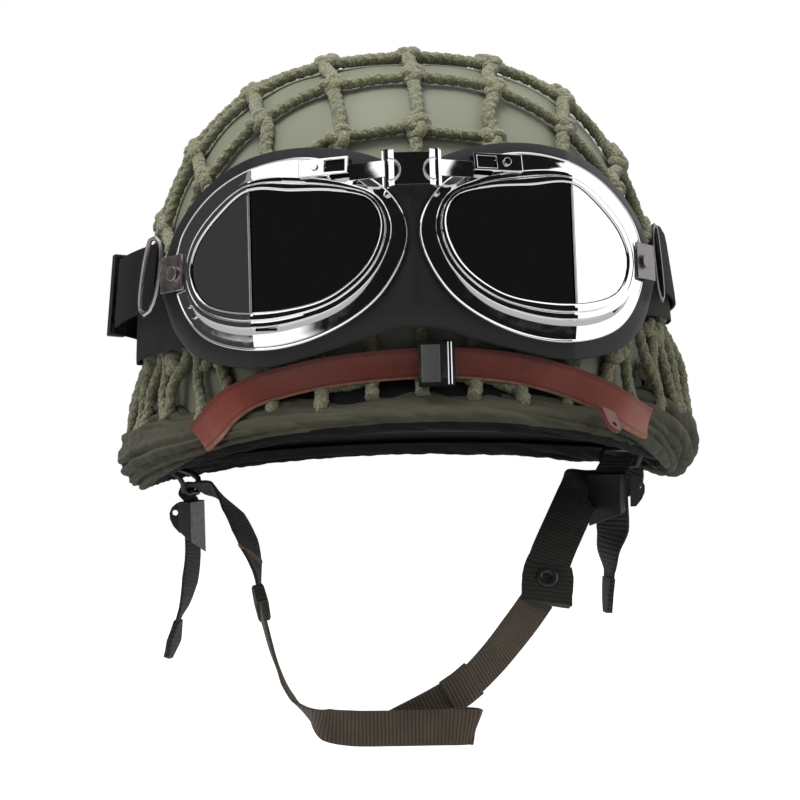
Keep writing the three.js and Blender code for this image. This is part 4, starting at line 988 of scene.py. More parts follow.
# %% Painted shade strip above the hem
SHADE_STRIP_ARC, SHADE_STRIP_RISE, SHADE_STRIP_RUN_OUT, SHADE_STRIP_LIFTS = 36, 15.5, 9, (0.3, 0.75)
shade_strip_theta = np.radians(np.linspace(-SHADE_STRIP_ARC, SHADE_STRIP_ARC, 61))
shade_strip_foot = rim_height(shade_strip_theta) + mix_round(shade_strip_theta, HEM_TOP) - 4
to_end = (SHADE_STRIP_ARC - np.abs(np.degrees(shade_strip_theta))) / SHADE_STRIP_RUN_OUT
shade_strip_rise = SHADE_STRIP_RISE * np.clip(to_end, 0.1, 1) ** 0.5
shade_strip_low, shade_strip_low_far = (around(shade_strip_theta, shade_strip_foot, lift) for lift in SHADE_STRIP_LIFTS)
shade_strip_high, shade_strip_high_far = (around(shade_strip_theta, shade_strip_foot + shade_strip_rise, lift) for lift in SHADE_STRIP_LIFTS)
shade_strip_rings = np.stack([shade_strip_low, shade_strip_high, shade_strip_high_far, shade_strip_low_far], 1)
# The strip takes the near-black painted shade finish.
shade_strip_piece = swept("hem_tape", shade_strip_rings, painted_shade_black)
stands_for(shade_strip_piece, "hem", "hem_band")

# %% [markdown]
# ## Straps that lie on the dome
# The elastic, the dark band round the helmet and the leather strap are flat strips bent over the net. Each
# has a table of stations: the turn in degrees, the height of its lower and upper edge, and how far it lies
# out from the steel. The section is a rounded strip with a slightly raised selvedge.

# %% Strap sections
def strip_outline(thick, count=9):
    across = np.linspace(0, 1, count)
    inner = [(s, 0.12 * thick if s in (0, 1) else 0.0) for s in across]
    outer = [(s, 0.88 * thick if s in (0, 1) else thick) for s in across[::-1]]
    return inner + outer


MIDDLE_OF_STRIP = 4


def strip_rings(theta, low, high, lift, outline):
    edge_low, edge_high = around(theta, low, lift), around(theta, high, lift)
    out_low = around(theta, low, lift + 1) - edge_low
    out_high = around(theta, high, lift + 1) - edge_high
    rings = [edge_low + (edge_high - edge_low) * s + (out_low * (1 - s) + out_high * s) * h
             for s, h in outline]
    return np.stack(rings, 1), np.mean(np.linalg.norm(edge_high - edge_low, axis=1))


def wrapped(name, table, thick, steps, material):
    table = np.asarray(table, dtype=float)
    shares = np.linspace(0, 1, steps + 1)
    count = np.arange(len(table))
    columns = [spline(np.stack([count, column], -1), shares)[:, 1] for column in table.T]
    outline = strip_outline(thick)
    rings, width = strip_rings(np.radians(columns[0]), *columns[1:], outline)
    run = run_along(rings[:, MIDDLE_OF_STRIP])
    made = swept(name, rings, material, along=run, across=[s * width for s, _ in outline] + [0])
    print(f"{name}: {run[-1]:.0f} mm long, {width:.1f} mm wide")
    return made, run[-1] * MM, width * MM


# %% [markdown]
# The goggles' elastic is pulled tight. It comes off the right bracket, lies on the net round the back, and
# stands off the dome at the left, where the slider joins it to a short front piece.

# %% Elastic of the goggles
ELASTIC_THICK = 1.6
ELASTIC_ROUTE = [
    (54.4, 73, 102, 16.8), (62, 72, 102, 13.6), (70, 71, 101, 11.2), (82, 69, 99, 10.6),
    (100, 66, 96, 10.6), (120, 62, 92, 10.6), (150, 59, 89, 10.6), (180, 58, 88, 10.6),
    (210, 58, 88, 10.6), (240, 59, 89, 10.6), (260, 61, 91, 10.7), (269, 62.5, 92.5, 14.4),
    (277, 64, 94, 17.2), (287, 64, 94, 17.2)]
ELASTIC_FRONT = [
    (-77.5, 64, 94, 19.4), (-70, 66, 95.5, 19.6), (-62, 69, 97.5, 18.4), (-54.4, 71.5, 99.5, 16.8)]
for name, table, node, steps in (("elastic_round", ELASTIC_ROUTE, "goggle_strap", 190),
                                 ("elastic_front", ELASTIC_FRONT, "goggle_strap_tab", 30)):
    made, long, wide = wrapped(name, table, ELASTIC_THICK, steps, elastic_weave)
    stands_for(made, "elastic", node)

# %% [markdown]
# The dark band closes on itself, so its sections run once round and join. Its lower edge rises a little to
# the right and to the front, as it does on a helmet that has been worn for a while.

# %% Dark band round the helmet
BAND_WIDTH, BAND_FLAT_WIDTH, BAND_LIFT, BAND_SIDES = 28, 0.029, 8.3, 200
band_theta = np.arange(BAND_SIDES) / BAND_SIDES * math.tau
band_low = 55 + 6 * np.sin(band_theta) + 6 * np.maximum(0, np.cos(band_theta))
band_outline = strip_outline(1.2)
band_rings, _ = strip_rings(band_theta, band_low, band_low + BAND_WIDTH, BAND_LIFT, band_outline)
band_middle = band_rings[:, MIDDLE_OF_STRIP]
band_run = run_along(np.concatenate([band_middle, band_middle[:1]]))
band_piece = swept("dark_band", band_rings, band_weave, closed_path=True, along=band_run,
                   across=[s * BAND_WIDTH for s, _ in band_outline] + [0])
stands_for(band_piece, "band", "helmet_band")

# %% [markdown]
# The leather is stiff across its width, so it doesn't hollow itself to the brim as the net does. Its
# stations name the middle, the direction across and the width. It is two layers of one strap, and the cut
# edges are raw and tan.

# %% Leather strap in two layers
LEATHER_ROUTE = [
    (-88.3, -113.0, 16.0, -0.51, 0.40, 0.8, 13.8), (-83.2, -116.4, 21.8, -0.43, 0.3, 0.86, 14.6),
    (-77.2, -117.2, 28.3, -0.27, 0.25, 0.94, 14), (-67.8, -118.4, 34.1, -0.12, 0.15, 0.99, 13),
    (-46.7, -125.2, 39.9, -0.08, 0, 0.99, 12.6), (-26.9, -130.9, 42.8, -0.01, 0, 1, 12.5),
    (-6.5, -133.4, 44.2, 0.02, 0, 1, 12.5), (15.1, -132.5, 44.3, 0.03, 0, 1, 12.5),
    (41.9, -126.9, 41.0, 0.12, 0.05, 0.99, 12.7), (63.2, -119.6, 35.0, 0.3, 0.1, 0.95, 13.3),
    (79.2, -115.0, 27.7, 0.42, 0.2, 0.9, 14), (88.9, -112.0, 21.3, 0.38, 0.35, 0.88, 14.3),
    (95.9, -107.0, 16.8, 0.27, 0.42, 0.9, 14.3)]


def strip_along(name, table, thick, rise, inset, steps, material):
    table = np.asarray(table, dtype=float)
    shares = np.linspace(0, 1, steps + 1)
    middle = spline(table[:, :3], shares)
    along = unit(np.gradient(middle, axis=0))
    track = shares * (len(table) - 1)
    across = unit(np.stack([np.interp(track, np.arange(len(table)), table[:, c]) for c in (3, 4, 5)], -1))
    across = unit(across - along * (across * along).sum(-1, keepdims=True))
    width = np.interp(track, np.arange(len(table)), table[:, 6]) - 2 * inset
    out = unit(np.cross(along, across))
    outline = strip_outline(thick)
    outline[-2:] = [(0.07, thick), (0, 0.3 * thick)]
    near_end = np.clip((np.abs(shares - 0.5) - 0.42) / 0.08, 0, 1)
    cup = 0.35 + 1.1 * near_end ** 2
    rings = np.stack([middle + across * ((s - 0.5) * width)[:, None]
                      + out * (h + rise + cup * (2 * s - 1) ** 2)[:, None] for s, h in outline], 1)
    run = run_along(middle)
    made = swept(name, rings, material, along=run, across=[s * width.mean() for s, _ in outline] + [0])
    print(f"{name}: {run[-1]:.0f} mm long, {width.mean():.1f} mm wide")
    return made, run[-1] * MM, width.mean() * MM


LEATHER_THICK, STRIP_POINTS = 1.4, 18
CUT_EDGES = ({8, 9}, {0, 17}, {16, 17})
for name, node, rise, inset in (("leather_under", "leather_strap_under", -1.75, 0.5),
                                ("leather_over", "leather_strap", 0.0, 0.0)):
    made, long, wide = strip_along(name, LEATHER_ROUTE, LEATHER_THICK, rise, inset, 130, leather_finish)
    made.data.materials.append(leather_edge)
    for face in made.data.polygons:
        corners = {v % STRIP_POINTS for v in face.vertices}
        if corners in CUT_EDGES or len(face.vertices) > 4:
            face.material_index = 1
    stands_for(made, "leather", node)


# %% [markdown]
# ## Goggles
# Each frame is a chromed pressing with two flat panels that meet at a crease. A round bead runs along the
# outer edge, a shallow flange slopes up from it, and a raised bezel holds the lens. All of it is one
# section carried round the outline, which gives mirror metal the even curves that facets would break up.

# %% Panels and outlines
CREASE, END = (64.5, 21.0), (97.0, 55.0)
LEAN = math.radians(8)
BRIDGE_AT = np.array([0, -148.0, 90.0])
FRAME_OUTLINE = [(1.8, 6), (7, 21), (22, 33.5), (42, 39.6), (64.5, 36), (82, 26.5), (95, 9), (96.8, -14),
                 (86, -32.5), (64.5, -39.3), (38, -34.5), (13, -18)]
LENS_OUTLINE = [(12.4, 10.5), (16.5, 20.5), (30, 24.4), (48, 25.4), (64.5, 26.2), (76, 18), (86, 5.5),
                (88.8, -6), (84, -18), (70, -23.2), (50, -22.7), (33, -18), (18, -5.5)]
off_front = unit(np.array([CREASE[1], -CREASE[0]]))
off_side = unit(np.array([END[1] - CREASE[1], CREASE[0] - END[0]]))
mitre = unit(off_front + off_side)
mitre = mitre / (mitre @ off_front)


def from_goggles(x, y, z):
    lean_cos, lean_sin = math.cos(LEAN), math.sin(LEAN)
    return BRIDGE_AT + [x, y * lean_cos + z * lean_sin, -y * lean_sin + z * lean_cos]


def panel_point(x, z, height, side):
    out = mitre if abs(x - CREASE[0]) < 1e-6 else (off_front if x < CREASE[0] else off_side)
    slope = (END[1] - CREASE[1]) / (END[0] - CREASE[0])
    y = x * CREASE[1] / CREASE[0] if x < CREASE[0] else CREASE[1] + (x - CREASE[0]) * slope
    return from_goggles(side * (x + out[0] * height), y + out[1] * height, z + y * math.tan(LEAN))


def reach_of(outline):
    centred = np.asarray(outline, float) - np.array([CREASE[0], 0])
    fine = spline(centred, np.linspace(0, 1, 481), closed=True)
    angles = np.unwrap(np.arctan2(fine[:, 1], fine[:, 0]))
    reach = np.hypot(fine[:, 0], fine[:, 1])
    if angles[-1] < angles[0]:
        angles, reach = angles[::-1], reach[::-1]
    return lambda a: np.interp((a - angles[0]) % math.tau + angles[0], angles, reach)


frame_reach, lens_reach = reach_of(FRAME_OUTLINE), reach_of(LENS_OUTLINE)
print("reach at the temple:", round(float(frame_reach(0.0)), 1), "lens:", round(float(lens_reach(0.0)), 1))

# %% [markdown]
# The frame's section starts at its outer edge with the round bead, rises over the flange and ends with the
# bezel and the inner wall. At each step round the outline it is stretched between the outer edge and the
# lens. The lenses are right as they are packed, so they only get a mirror finish.

# %% Chrome frames
FRAME_SECTION = [
    # share of the way in from the outer edge, height above the back
    (0.0, 0.2), (0.0, 0.9), (0.012, 1.3), (0.035, 1.5), (0.06, 1.42), (0.08, 1.25), (0.11, 1.3),
    (0.25, 1.66), (0.4, 2.05), (0.55, 2.42), (0.565, 2.5), (0.575, 2.72), (0.58, 2.95), (0.595, 3.1),
    (0.62, 3.15), (0.68, 3.16), (0.735, 3.14), (0.75, 3.02), (0.758, 2.85), (0.77, 2.82), (0.785, 2.95),
    (0.792, 3.15), (0.805, 3.28), (0.85, 3.3), (0.94, 3.27), (0.965, 3.15), (0.985, 2.95), (1.0, 2.7),
    (1.0, 1.6), (1.0, 0.3), (0.5, 0.1)]
FRAME_STEPS = 144


def frame_skin(name, side):
    rings = []
    for k in range(FRAME_STEPS):
        angle = k / FRAME_STEPS * math.tau
        ca, sa = round(math.cos(angle), 9), math.sin(angle)
        outer, inner = float(frame_reach(angle)), float(lens_reach(angle))
        rings.append([panel_point(CREASE[0] + ca * reach, sa * reach, h, side)
                      for reach, h in ((outer + (inner - outer) * s, h) for s, h in FRAME_SECTION)])
    return swept(name, np.array(rings), chrome, closed_path=True, sharp=28)


for name, side in (("left", -1), ("right", 1)):
    stands_for(frame_skin(f"frame_{name}_skin", side), "frame_chrome", f"goggle_frame_{name}")
    for pane in ("front", "side"):
        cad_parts[f"lens_{name}_{pane}"].data.materials.clear()
        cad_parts[f"lens_{name}_{pane}"].data.materials.append(lens_mirror)

# %% [markdown]
# A narrow bead covers the joint of the two panes. Slots in the flange hold the frame's tongues, and two
# small screws close it below. All of them are laid on the panels by the same function as the frame itself,
# so they follow its bend.


# %% Tools for small parts on the panels
def tube(points, radius, sides=8):
    points = np.asarray(points, dtype=float)
    ahead = unit(np.gradient(points, axis=0))
    side = unit(np.cross(ahead, np.array([0.3, 1.0, 0.2]) + 0 * ahead))
    over = np.cross(side, ahead)
    return np.stack([points + radius * (math.cos(a) * side + math.sin(a) * over)
                     for a in np.arange(sides) / sides * math.tau], 1)


def flange_bar(name, side, start, end, width, low, high, material, node):
    start, end = np.array(start, float), np.array(end, float)
    beside = unit(np.array([end[1] - start[1], start[0] - end[0]])) * width / 2
    ring = [(1, low), (1, high), (-1, high), (-1, low)]
    rings = []
    for at in np.linspace(0, 1, 5):
        middle = start + (end - start) * at
        rings.append([panel_point(*(middle + w * beside), h, side) for w, h in ring])
    made = swept(name, np.array(rings), material, sharp=30)
    return stands_for(made, "frame_chrome", node)


# %% Crease beads, slots and screws
for name, side in (("left", -1), ("right", 1)):
    top, low = float(lens_reach(math.pi / 2)), float(lens_reach(-math.pi / 2))
    bead = [panel_point(CREASE[0], z, 2.62, side) for z in np.linspace(-low + 0.3, top - 0.3, 24)]
    stands_for(swept(f"crease_bead_{name}", tube(bead, 0.34), chrome, sharp=60), "frame_chrome",
               f"goggle_frame_{name}")
for k, (side, start, end, width) in enumerate((
        (-1, (55.0, -27.4), (63.6, -27.4), 1.0), (-1, (55.0, -31.0), (63.6, -31.0), 1.0),
        (-1, (73.0, -27.2), (80.5, -24.6), 0.8), (1, (81.0, -26.8), (88.5, -19.5), 1.1))):
    flange_bar(f"flange_slot_{k}", side, start, end, width, 1.7, 2.62, slot_black,
               "goggle_frame_left" if side < 0 else "goggle_frame_right")
SCREW_PROFILE = ((1, 1.4), (1, 2.2), (0.8, 2.6), (0.3, 2.7))
turns = np.arange(12) / 12 * math.tau
for k, (x, z, size) in enumerate(((88.5, -23.5, 1.3), (90.6, -19.5, 0.8))):
    rings = [[panel_point(x + math.cos(a) * size * r, z + math.sin(a) * size * r, h, -1) for a in turns]
             for r, h in SCREW_PROFILE]
    screw = swept(f"flange_screw_{k}", np.array(rings), chrome, sharp=40)
    stands_for(screw, "frame_chrome", "goggle_frame_left")

# %% [markdown]
# ## Padded mask
# Behind the frames is a soft charcoal pad that follows the dome at its back and rolls over at its edges.
# A cushion could be swelled by a cloth simulation, but here the frames in front and the dome behind fix both
# faces, so its sections are swept from temple to temple and only the full round edge is free. Each section
# finds the dome by halving the distance to it.

# %% Pad skin
PAD_EDGE = np.array([
    # distance from the middle, upper edge, lower edge
    (0, 31, -31.5), (10, 37, -33), (24, 42, -37), (42, 44.3, -42), (60, 42.5, -46), (76, 36.5, -45),
    (90, 25, -40), (99, 12, -30), (104.5, -4, -14)], float)
PAD_LIFT, PAD_BACK_ROWS, PAD_LIP = 10.2, 9, 1.2
TEMPLE_FROM, TEMPLE_DEPTH = 92, 2


def dome_front(x, z, lift):
    near, far = np.full_like(x, -200.0), np.zeros_like(x)
    for _ in range(24):
        y = (near + far) / 2
        limit = around(np.arctan2(x, -y), z, np.full_like(x, lift))
        outside = np.hypot(x, y) > np.hypot(limit[:, 0], limit[:, 1])
        near, far = np.where(outside, y, near), np.where(outside, far, y)
    return near


pad_columns = np.concatenate([-np.linspace(104.4, 0.8, 66), np.linspace(0.8, 104.4, 66)])
pad_rows = (1 - np.cos(np.linspace(0, 1, 21) * math.pi)) / 2
PAD_CURVE = spline(np.concatenate([PAD_EDGE[1:0:-1] * [-1, 1, 1], PAD_EDGE]), np.linspace(0, 1, 600))
pad_sections = []
for x in pad_columns:
    out = abs(x)
    top, low = (np.interp(out, PAD_CURVE[:, 0], PAD_CURVE[:, c]) for c in (1, 2))
    tip = np.clip((out - TEMPLE_FROM) / 13, 0, 1)
    tip = tip * tip * (3 - 2 * tip) * TEMPLE_DEPTH
    front = []
    for share in pad_rows:
        point = panel_point(out, low + (top - low) * share, 0, 1)
        rolled = abs(share * 2 - 1) ** 6 * (7 - 2 * share)
        front.append([x, point[1] + 0.35 + rolled + tip, point[2]])
    front = np.array(front)
    back_rows = np.linspace(len(front) - 1, 0, PAD_BACK_ROWS).astype(int)
    back_x, back_z = np.full(PAD_BACK_ROWS, x), front[back_rows, 2]
    back = np.stack([back_x, dome_front(back_x, back_z, PAD_LIFT), back_z], -1)
    back[0, 2] -= PAD_LIP
    back[-1, 2] += PAD_LIP
    pad_sections.append(np.concatenate([front, back]))
pad_piece = swept("mask_pad", np.array(pad_sections), pad_skin, sharp=80)
stands_for(pad_piece, "pad", "goggle_pad")


# %% [markdown]
# ## Small hardware
# Buckles, clips, keepers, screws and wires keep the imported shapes, because those are right. A copy of each
# mesh is merged, its flat faces are joined again, and its edges get a narrow bevel, which catches the light
# as a worn edge does.

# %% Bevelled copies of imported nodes
def bevelled(node, slot, material, width=0.25, segments=2, angle=30):
    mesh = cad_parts[node].data.copy()
    mesh.name = node + "_piece"
    work = bmesh.new()
    work.from_mesh(mesh)
    bmesh.ops.remove_doubles(work, verts=work.verts, dist=0.01 * MM)
    bmesh.ops.dissolve_limit(work, angle_limit=math.radians(1.0), verts=work.verts, edges=work.edges)
    work.to_mesh(mesh)
    work.free()
    made = new_object(node + "_piece", mesh, material)
    if width:
        rounding = made.modifiers.new("edge", "BEVEL")
        rounding.width, rounding.segments = width * MM, segments
        rounding.limit_method, rounding.angle_limit = "ANGLE", math.radians(angle)
        rounding.use_clamp_overlap = True
    smooth(mesh, angle)
    return stands_for(made, slot, node)


# %% [markdown]
# The bridge's clips lie on the sloping top flange, so their copies lean back a little about their own
# length, and the screws and the dark window of each clip lean with them.

# %% Clips of the bridge
CLIP_LEAN = math.radians(9)


def leaned(piece, side, heart):
    way = unit(panel_point(44, 34.3, 3, side) - panel_point(24, 34.3, 3, side)) * side
    turn = Matrix.Rotation(-CLIP_LEAN, 4, Vector(way))
    centre = Vector(to_frame(heart))
    piece.data.transform(Matrix.Translation(centre) @ turn @ Matrix.Translation(-centre))


for name, side in (("left", -1), ("right", 1)):
    heart = panel_point(34, 34.3, 3.6, side)
    leaned(bevelled(f"bridge_clip_{name}", "frame_chrome", chrome, 0.3), side, heart)
    leaned(bevelled(f"bridge_screw_{name}", "frame_chrome", chrome, 0.2), side, heart)
    window = flange_bar(f"clip_window_{name}", side, (22.9, 34.3), (32.6, 34.3), 5.6, 3.0, 3.9, slot_black,
                        f"bridge_clip_{name}")
    leaned(window, side, heart)

# %% [markdown]
# The brackets' wire loops carry the elastic. The right one is turned back with its pull, so it looks half
# as wide from the front, and its plating is rougher and painted darker, as painted shade. The bails and the
# clamps of the chin strap keep their imported shapes.

# %% Brackets, bails and clamps
PLATE_END, LOOP_TURNED = 102.6, 0.5
clamp_pieces = {}
for side in ("left", "right"):
    # The right bracket takes the nickel that is painted darker as shade.
    bracket_metal = nickel if side == "left" else shaded_nickel
    bracket = bevelled(f"strap_bracket_{side}", "nickel", bracket_metal, 0.12)
    if side == "right":
        for vertex in bracket.data.vertices:
            beyond = vertex.co.x - PLATE_END * MM
            vertex.co.x -= max(0.0, beyond) * LOOP_TURNED
    bevelled(f"bracket_rivet_{side}", "nickel", bracket_metal, 0.3, 3)
    clamp_pieces[side] = (bevelled(f"chin_buckle_{side}", "black_hardware", black_metal, 0.45, 3),
                          bevelled(f"chin_tab_{side}", "black_hardware", black_metal, 0.2))
    bevelled(f"bail_{side}", "black_hardware", black_metal, 0.0, angle=60)

# %% [markdown]
# Each clamp is bent from sheet and cut off aslant below, and the right one is a little narrower than its
# packed block, so their lower and outer points are moved.

# %% Clamps cut aslant
CLAMP_NARROW, CLAMP_SHIFT = 0.84, 0.4 * MM
EAR_SHIFT = Vector((-2.2 * MM, -1.5 * MM, 0))
for side, cut in (("left", -11.0), ("right", 7.0)):
    low, high = (np.array(c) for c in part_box(f"chin_buckle_{side}"))
    clamp, ear = clamp_pieces[side]
    for vertex in clamp.data.vertices:
        if vertex.co.z < (low[2] + high[2]) / 2:
            share = (vertex.co.x - low[0]) / (high[0] - low[0])
            vertex.co.z += MM * abs(cut) * (share if cut > 0 else 1 - share)
        if side == "right":
            vertex.co.x = low[0] + (vertex.co.x - low[0]) * CLAMP_NARROW - CLAMP_SHIFT
    if side == "right":
        for vertex in ear.data.vertices:
            vertex.co += EAR_SHIFT

# %% [markdown]
# Between the frames, the bridge's bar stands in front. Two bright cheeks flank it, and two thin wires bow
# inwards over its face.


# %% Bridge
def bench_box(node):
    return np.array(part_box(node)) / MM + np.array([0, 0, CROWN_SEAT])


BRIDGE_RISE, ARC_REACH, ARC_WIRE = 32.3, 4.4, 0.38
CHEEK = [(7.2, -5.1), (11.9, -2.2), (11.9, -1.6), (7.2, -4.5)]
bevelled("bridge_bar", "frame_chrome", chrome, 0.2)
bar_box = bench_box("bridge_bar")
bar_front = bar_box[0][1] + 0.1
bar_middle = BRIDGE_AT[2] + BRIDGE_RISE * math.cos(LEAN)
bend = np.linspace(-math.pi / 2, math.pi / 2, 21)
for k, way in enumerate((-1, 1)):
    arc = np.stack([way * (9.4 - 4.6 * np.cos(bend)), bar_front + ARC_REACH * np.sin(bend) * math.sin(LEAN),
                    bar_middle + ARC_REACH * np.sin(bend)], -1)
    wire = swept(f"bridge_arc_{k}", tube(arc, ARC_WIRE), chrome, sharp=60)
    stands_for(wire, "frame_chrome", "bridge_bar")
for name, side in (("left", -1), ("right", 1)):
    cheek_rings = [[from_goggles(side * x, y, z) for x, y in CHEEK] for z in (25.0, BRIDGE_RISE, 39.6)]
    cheek = swept(f"bridge_cheek_{name}", np.array(cheek_rings), chrome, sharp=20)
    stands_for(cheek, "frame_chrome", "bridge_bar")
print("bridge box:", np.round(bar_box, 1).tolist())

# %% [markdown]
# The leather's black buckle has a grey plate let into its face and a bright bar at its right, and the
# slider of the elastic is a plain black block.

# %% Buckle and slider
bevelled("goggle_slider", "black_hardware", black_metal, 0.5, 3)
bevelled("leather_buckle", "black_hardware", black_metal, 0.3, 3)
buckle_low, buckle_high = bench_box("leather_buckle")
plate_x = (buckle_low[0] + 1.6, buckle_low[0] + 9.2)
plate_z = (buckle_low[2] + 2.0, buckle_high[2] - 2.0)
plate_back = buckle_low[1] + 1.2
plate_rings = []
for x, sunk in ((plate_x[0], 0.5), (plate_x[0] + 0.8, 0), (plate_x[1] - 0.8, 0), (plate_x[1], 0.5)):
    plate_face = buckle_low[1] + sunk - 0.25
    plate_rings.append([(x, plate_face, plate_z[0]), (x, plate_face, plate_z[1]),
                        (x, plate_back, plate_z[1]), (x, plate_back, plate_z[0])])
plate_piece = swept("buckle_plate", np.array(plate_rings), grey_plate)
stands_for(plate_piece, "black_hardware", "leather_buckle")
bar_x, bar_y = buckle_high[0] - 2.9, buckle_low[1] + 0.3
bar_line = [(bar_x, bar_y, z) for z in np.linspace(plate_z[0] - 1, plate_z[1] + 1, 6)]
bar_piece = swept("buckle_bar", tube(bar_line, 1.25, 12), lens_mirror, sharp=60)
stands_for(bar_piece, "black_hardware", "leather_buckle")
bevelled("leather_loop", "leather", leather_finish, 0.2)

# %% [markdown]
# The snap is a pressed cap with a rolled rim and a hollow centre, so its profile is turned about its own
# axis, which faces forward and up.

# %% Snap with its hollow centre
snap_heart = bench_box("chin_snap").mean(0)
snap_out = unit(np.array([0.1, -0.88, 0.46]))
snap_side = unit(np.cross(snap_out, np.array([0, 0, 1.0])))
snap_up = np.cross(snap_side, snap_out)
SNAP_PROFILE = [
    # radius, height
    (4.8, -0.6), (4.8, 1.2), (4.5, 1.75), (3.9, 2.0), (2.9, 1.9), (2.3, 1.4), (1.9, 0.6), (1.0, 0.45),
    (0.15, 0.4)]
snap_rings = [[snap_heart + r * (math.cos(a) * snap_side + math.sin(a) * snap_up) + h * snap_out
               for a in np.arange(28) / 28 * math.tau] for r, h in SNAP_PROFILE]
stands_for(swept("snap_cap", np.array(snap_rings), snap_metal, sharp=50), "black_hardware", "chin_snap")

# %% [markdown]
# ## Chin strap
# The webbing runs from a free end up through its clamp, over the wire bail and down to the other side. Each
# strap is a ribbon: its stations name the middle and the direction across, and the ribs of the weave run
# across its length in the UV map.

# %% Webbing ribbons
def ribbon(name, table, width, thick, steps, material, slot, node):
    table = np.asarray(table, dtype=float)
    shares = np.linspace(0, 1, steps + 1)
    middle = spline(table[:, :3], shares)
    along = unit(np.gradient(middle, axis=0))
    track = shares * (len(table) - 1)
    stations = np.arange(len(table))
    across = np.stack([np.interp(track, stations, column) for column in unit(table[:, 3:]).T], -1)
    across = unit(across - along * (across * along).sum(-1, keepdims=True))
    out = unit(np.cross(across, along))
    width_here = np.interp(shares, np.linspace(0, 1, len(width)), width)[:, None]
    width = float(width_here.mean())
    outline = [(s - 0.5, h - thick / 2) for s, h in strip_outline(thick)]
    rings = np.stack([middle + across * a * width_here + out * b for a, b in outline], 1)
    run = run_along(middle)
    sideways = [a * width for a, _ in outline + outline[:1]]
    made = swept(name, rings, material, along=run, across=sideways)
    stands_for(made, slot, node)
    print(f"{name}: {run[-1]:.0f} mm of {width:.0f} mm webbing")


# %% [markdown]
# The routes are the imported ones, turned a little to face the camera as the photographed straps do. In each
# station come the middle and then the direction across.

# %% Routes of the chin strap
CHIN_LEFT = [
    (-110.4, -8, -83, 0.12, 0.98, 0), (-107.6, -8, -75.5, 0.2, 0.97, 0),
    (-105.3, -8, -66, 0.03, 0.99, 0), (-102.6, -8, -59.8, 0.15, 0.98, 0),
    (-99.7, -7, -48.6, 0.3, 0.95, 0), (-98.2, -5.2, -38, 0.28, 0.97, 0),
    (-98.2, -5.2, -25, 0.25, 0.97, 0), (-98.2, -5.2, -13, 0.25, 0.97, 0),
    (-100.6, -4.4, -9.4, 0.25, 0.97, 0), (-98, -5, -5.9, 0.25, 0.97, -0.1),
    (-94.1, -6, -7.2, 0.2, 0.92, -0.3), (-87.3, -8, -8.6, 0.15, 0.88, -0.42),
    (-79.3, -13, -17.9, 0.4, 0.88, -0.12), (-74.1, -19, -28.5, 0.45, 0.88, -0.1),
    (-71.5, -25, -37.2, 0.34, 0.92, -0.14), (-69, -33, -48.7, 0.05, 0.94, -0.36),
    (-67.4, -41.4, -59.2, 0, 0.85, -0.65)]
CHIN_RIGHT = [
    (88.6, -8, -68.8, 0.05, -1, 0), (88.9, -8, -61, 0.05, -1, 0), (89.9, -8, -50.3, 0.1, -0.98, 0),
    (89.6, -9, -40.6, 0.4, -0.92, 0), (91.8, -9.2, -31, 0.66, -0.75, 0),
    (91.8, -9.2, -18, 0.66, -0.75, 0), (91.8, -9.2, -6, 0.66, -0.75, 0), (94, -7.3, -2, 0.66, -0.75, 0),
    (96.5, -5, 1, 0.66, -0.75, 0), (98.9, -2.7, -2, 0.66, -0.75, 0), (99.4, 1.6, -6.4, 0.62, -0.77, 0),
    (95.4, 10, -9.6, 0.5, -0.82, -0.2), (87, 13.8, -10, 0.2, -0.85, -0.45),
    (80.5, 9, -10.8, 0.15, -0.75, -0.65), (76.6, -5, -16.2, 0.36, -0.6, -0.7),
    (70.6, -18, -25.6, 0.77, -0.34, -0.5), (64.2, -30, -36, 0.93, -0.15, -0.3),
    (60.9, -36.6, -41.8, 0.97, 0, -0.22), (59.0, -41.0, -46.2, 0.98, 0.08, -0.2),
    (58.4, -44.4, -51.6, 0.98, 0.1, -0.2), (57.6, -49.8, -60.6, 0.98, 0.1, -0.2)]
CHIN_BAND = [
    (-67.3, -41.9, -60, 0, 0.85, -0.65), (-63.8, -53, -73, 0, 0.9, -0.5),
    (-60.4, -62, -83.2, 0.05, 0.95, -0.35), (-56, -71, -93, 0.1, 0.99, -0.12),
    (-52.3, -75.2, -98.3, 0.1, 0.98, -0.15), (-47.2, -78.4, -102.6, 0.05, 0.9, -0.42),
    (-40.4, -80.6, -106.8, 0, 0.42, -0.91), (-30, -82.8, -108.4, 0, 0.28, -0.96),
    (-11, -84, -108.9, 0, 0.28, -0.96), (8, -83.8, -109.2, 0, 0.28, -0.96),
    (18, -82.4, -109.6, -0.1, 0.28, -0.95), (23, -79.8, -109.8, -0.36, 0.25, -0.9),
    (19.5, -77.6, -109.4, -0.3, 0.28, -0.92), (10, -77.8, -109, 0, 0.37, -0.93)]
CHIN_BACK = [
    (-14, -75.2, -110.4, 0.12, -0.36, 0.92), (8, -74, -99.8, -0.1, -0.4, 0.9),
    (20.6, -71.5, -92.6, -0.3, -0.45, 0.84), (31.4, -66, -83.4, -0.42, -0.4, 0.8),
    (42, -57, -72.6, -0.52, -0.33, 0.78), (49.5, -49, -64.6, -0.58, -0.3, 0.76),
    (55.6, -43.2, -57.4, -0.6, -0.3, 0.74)]

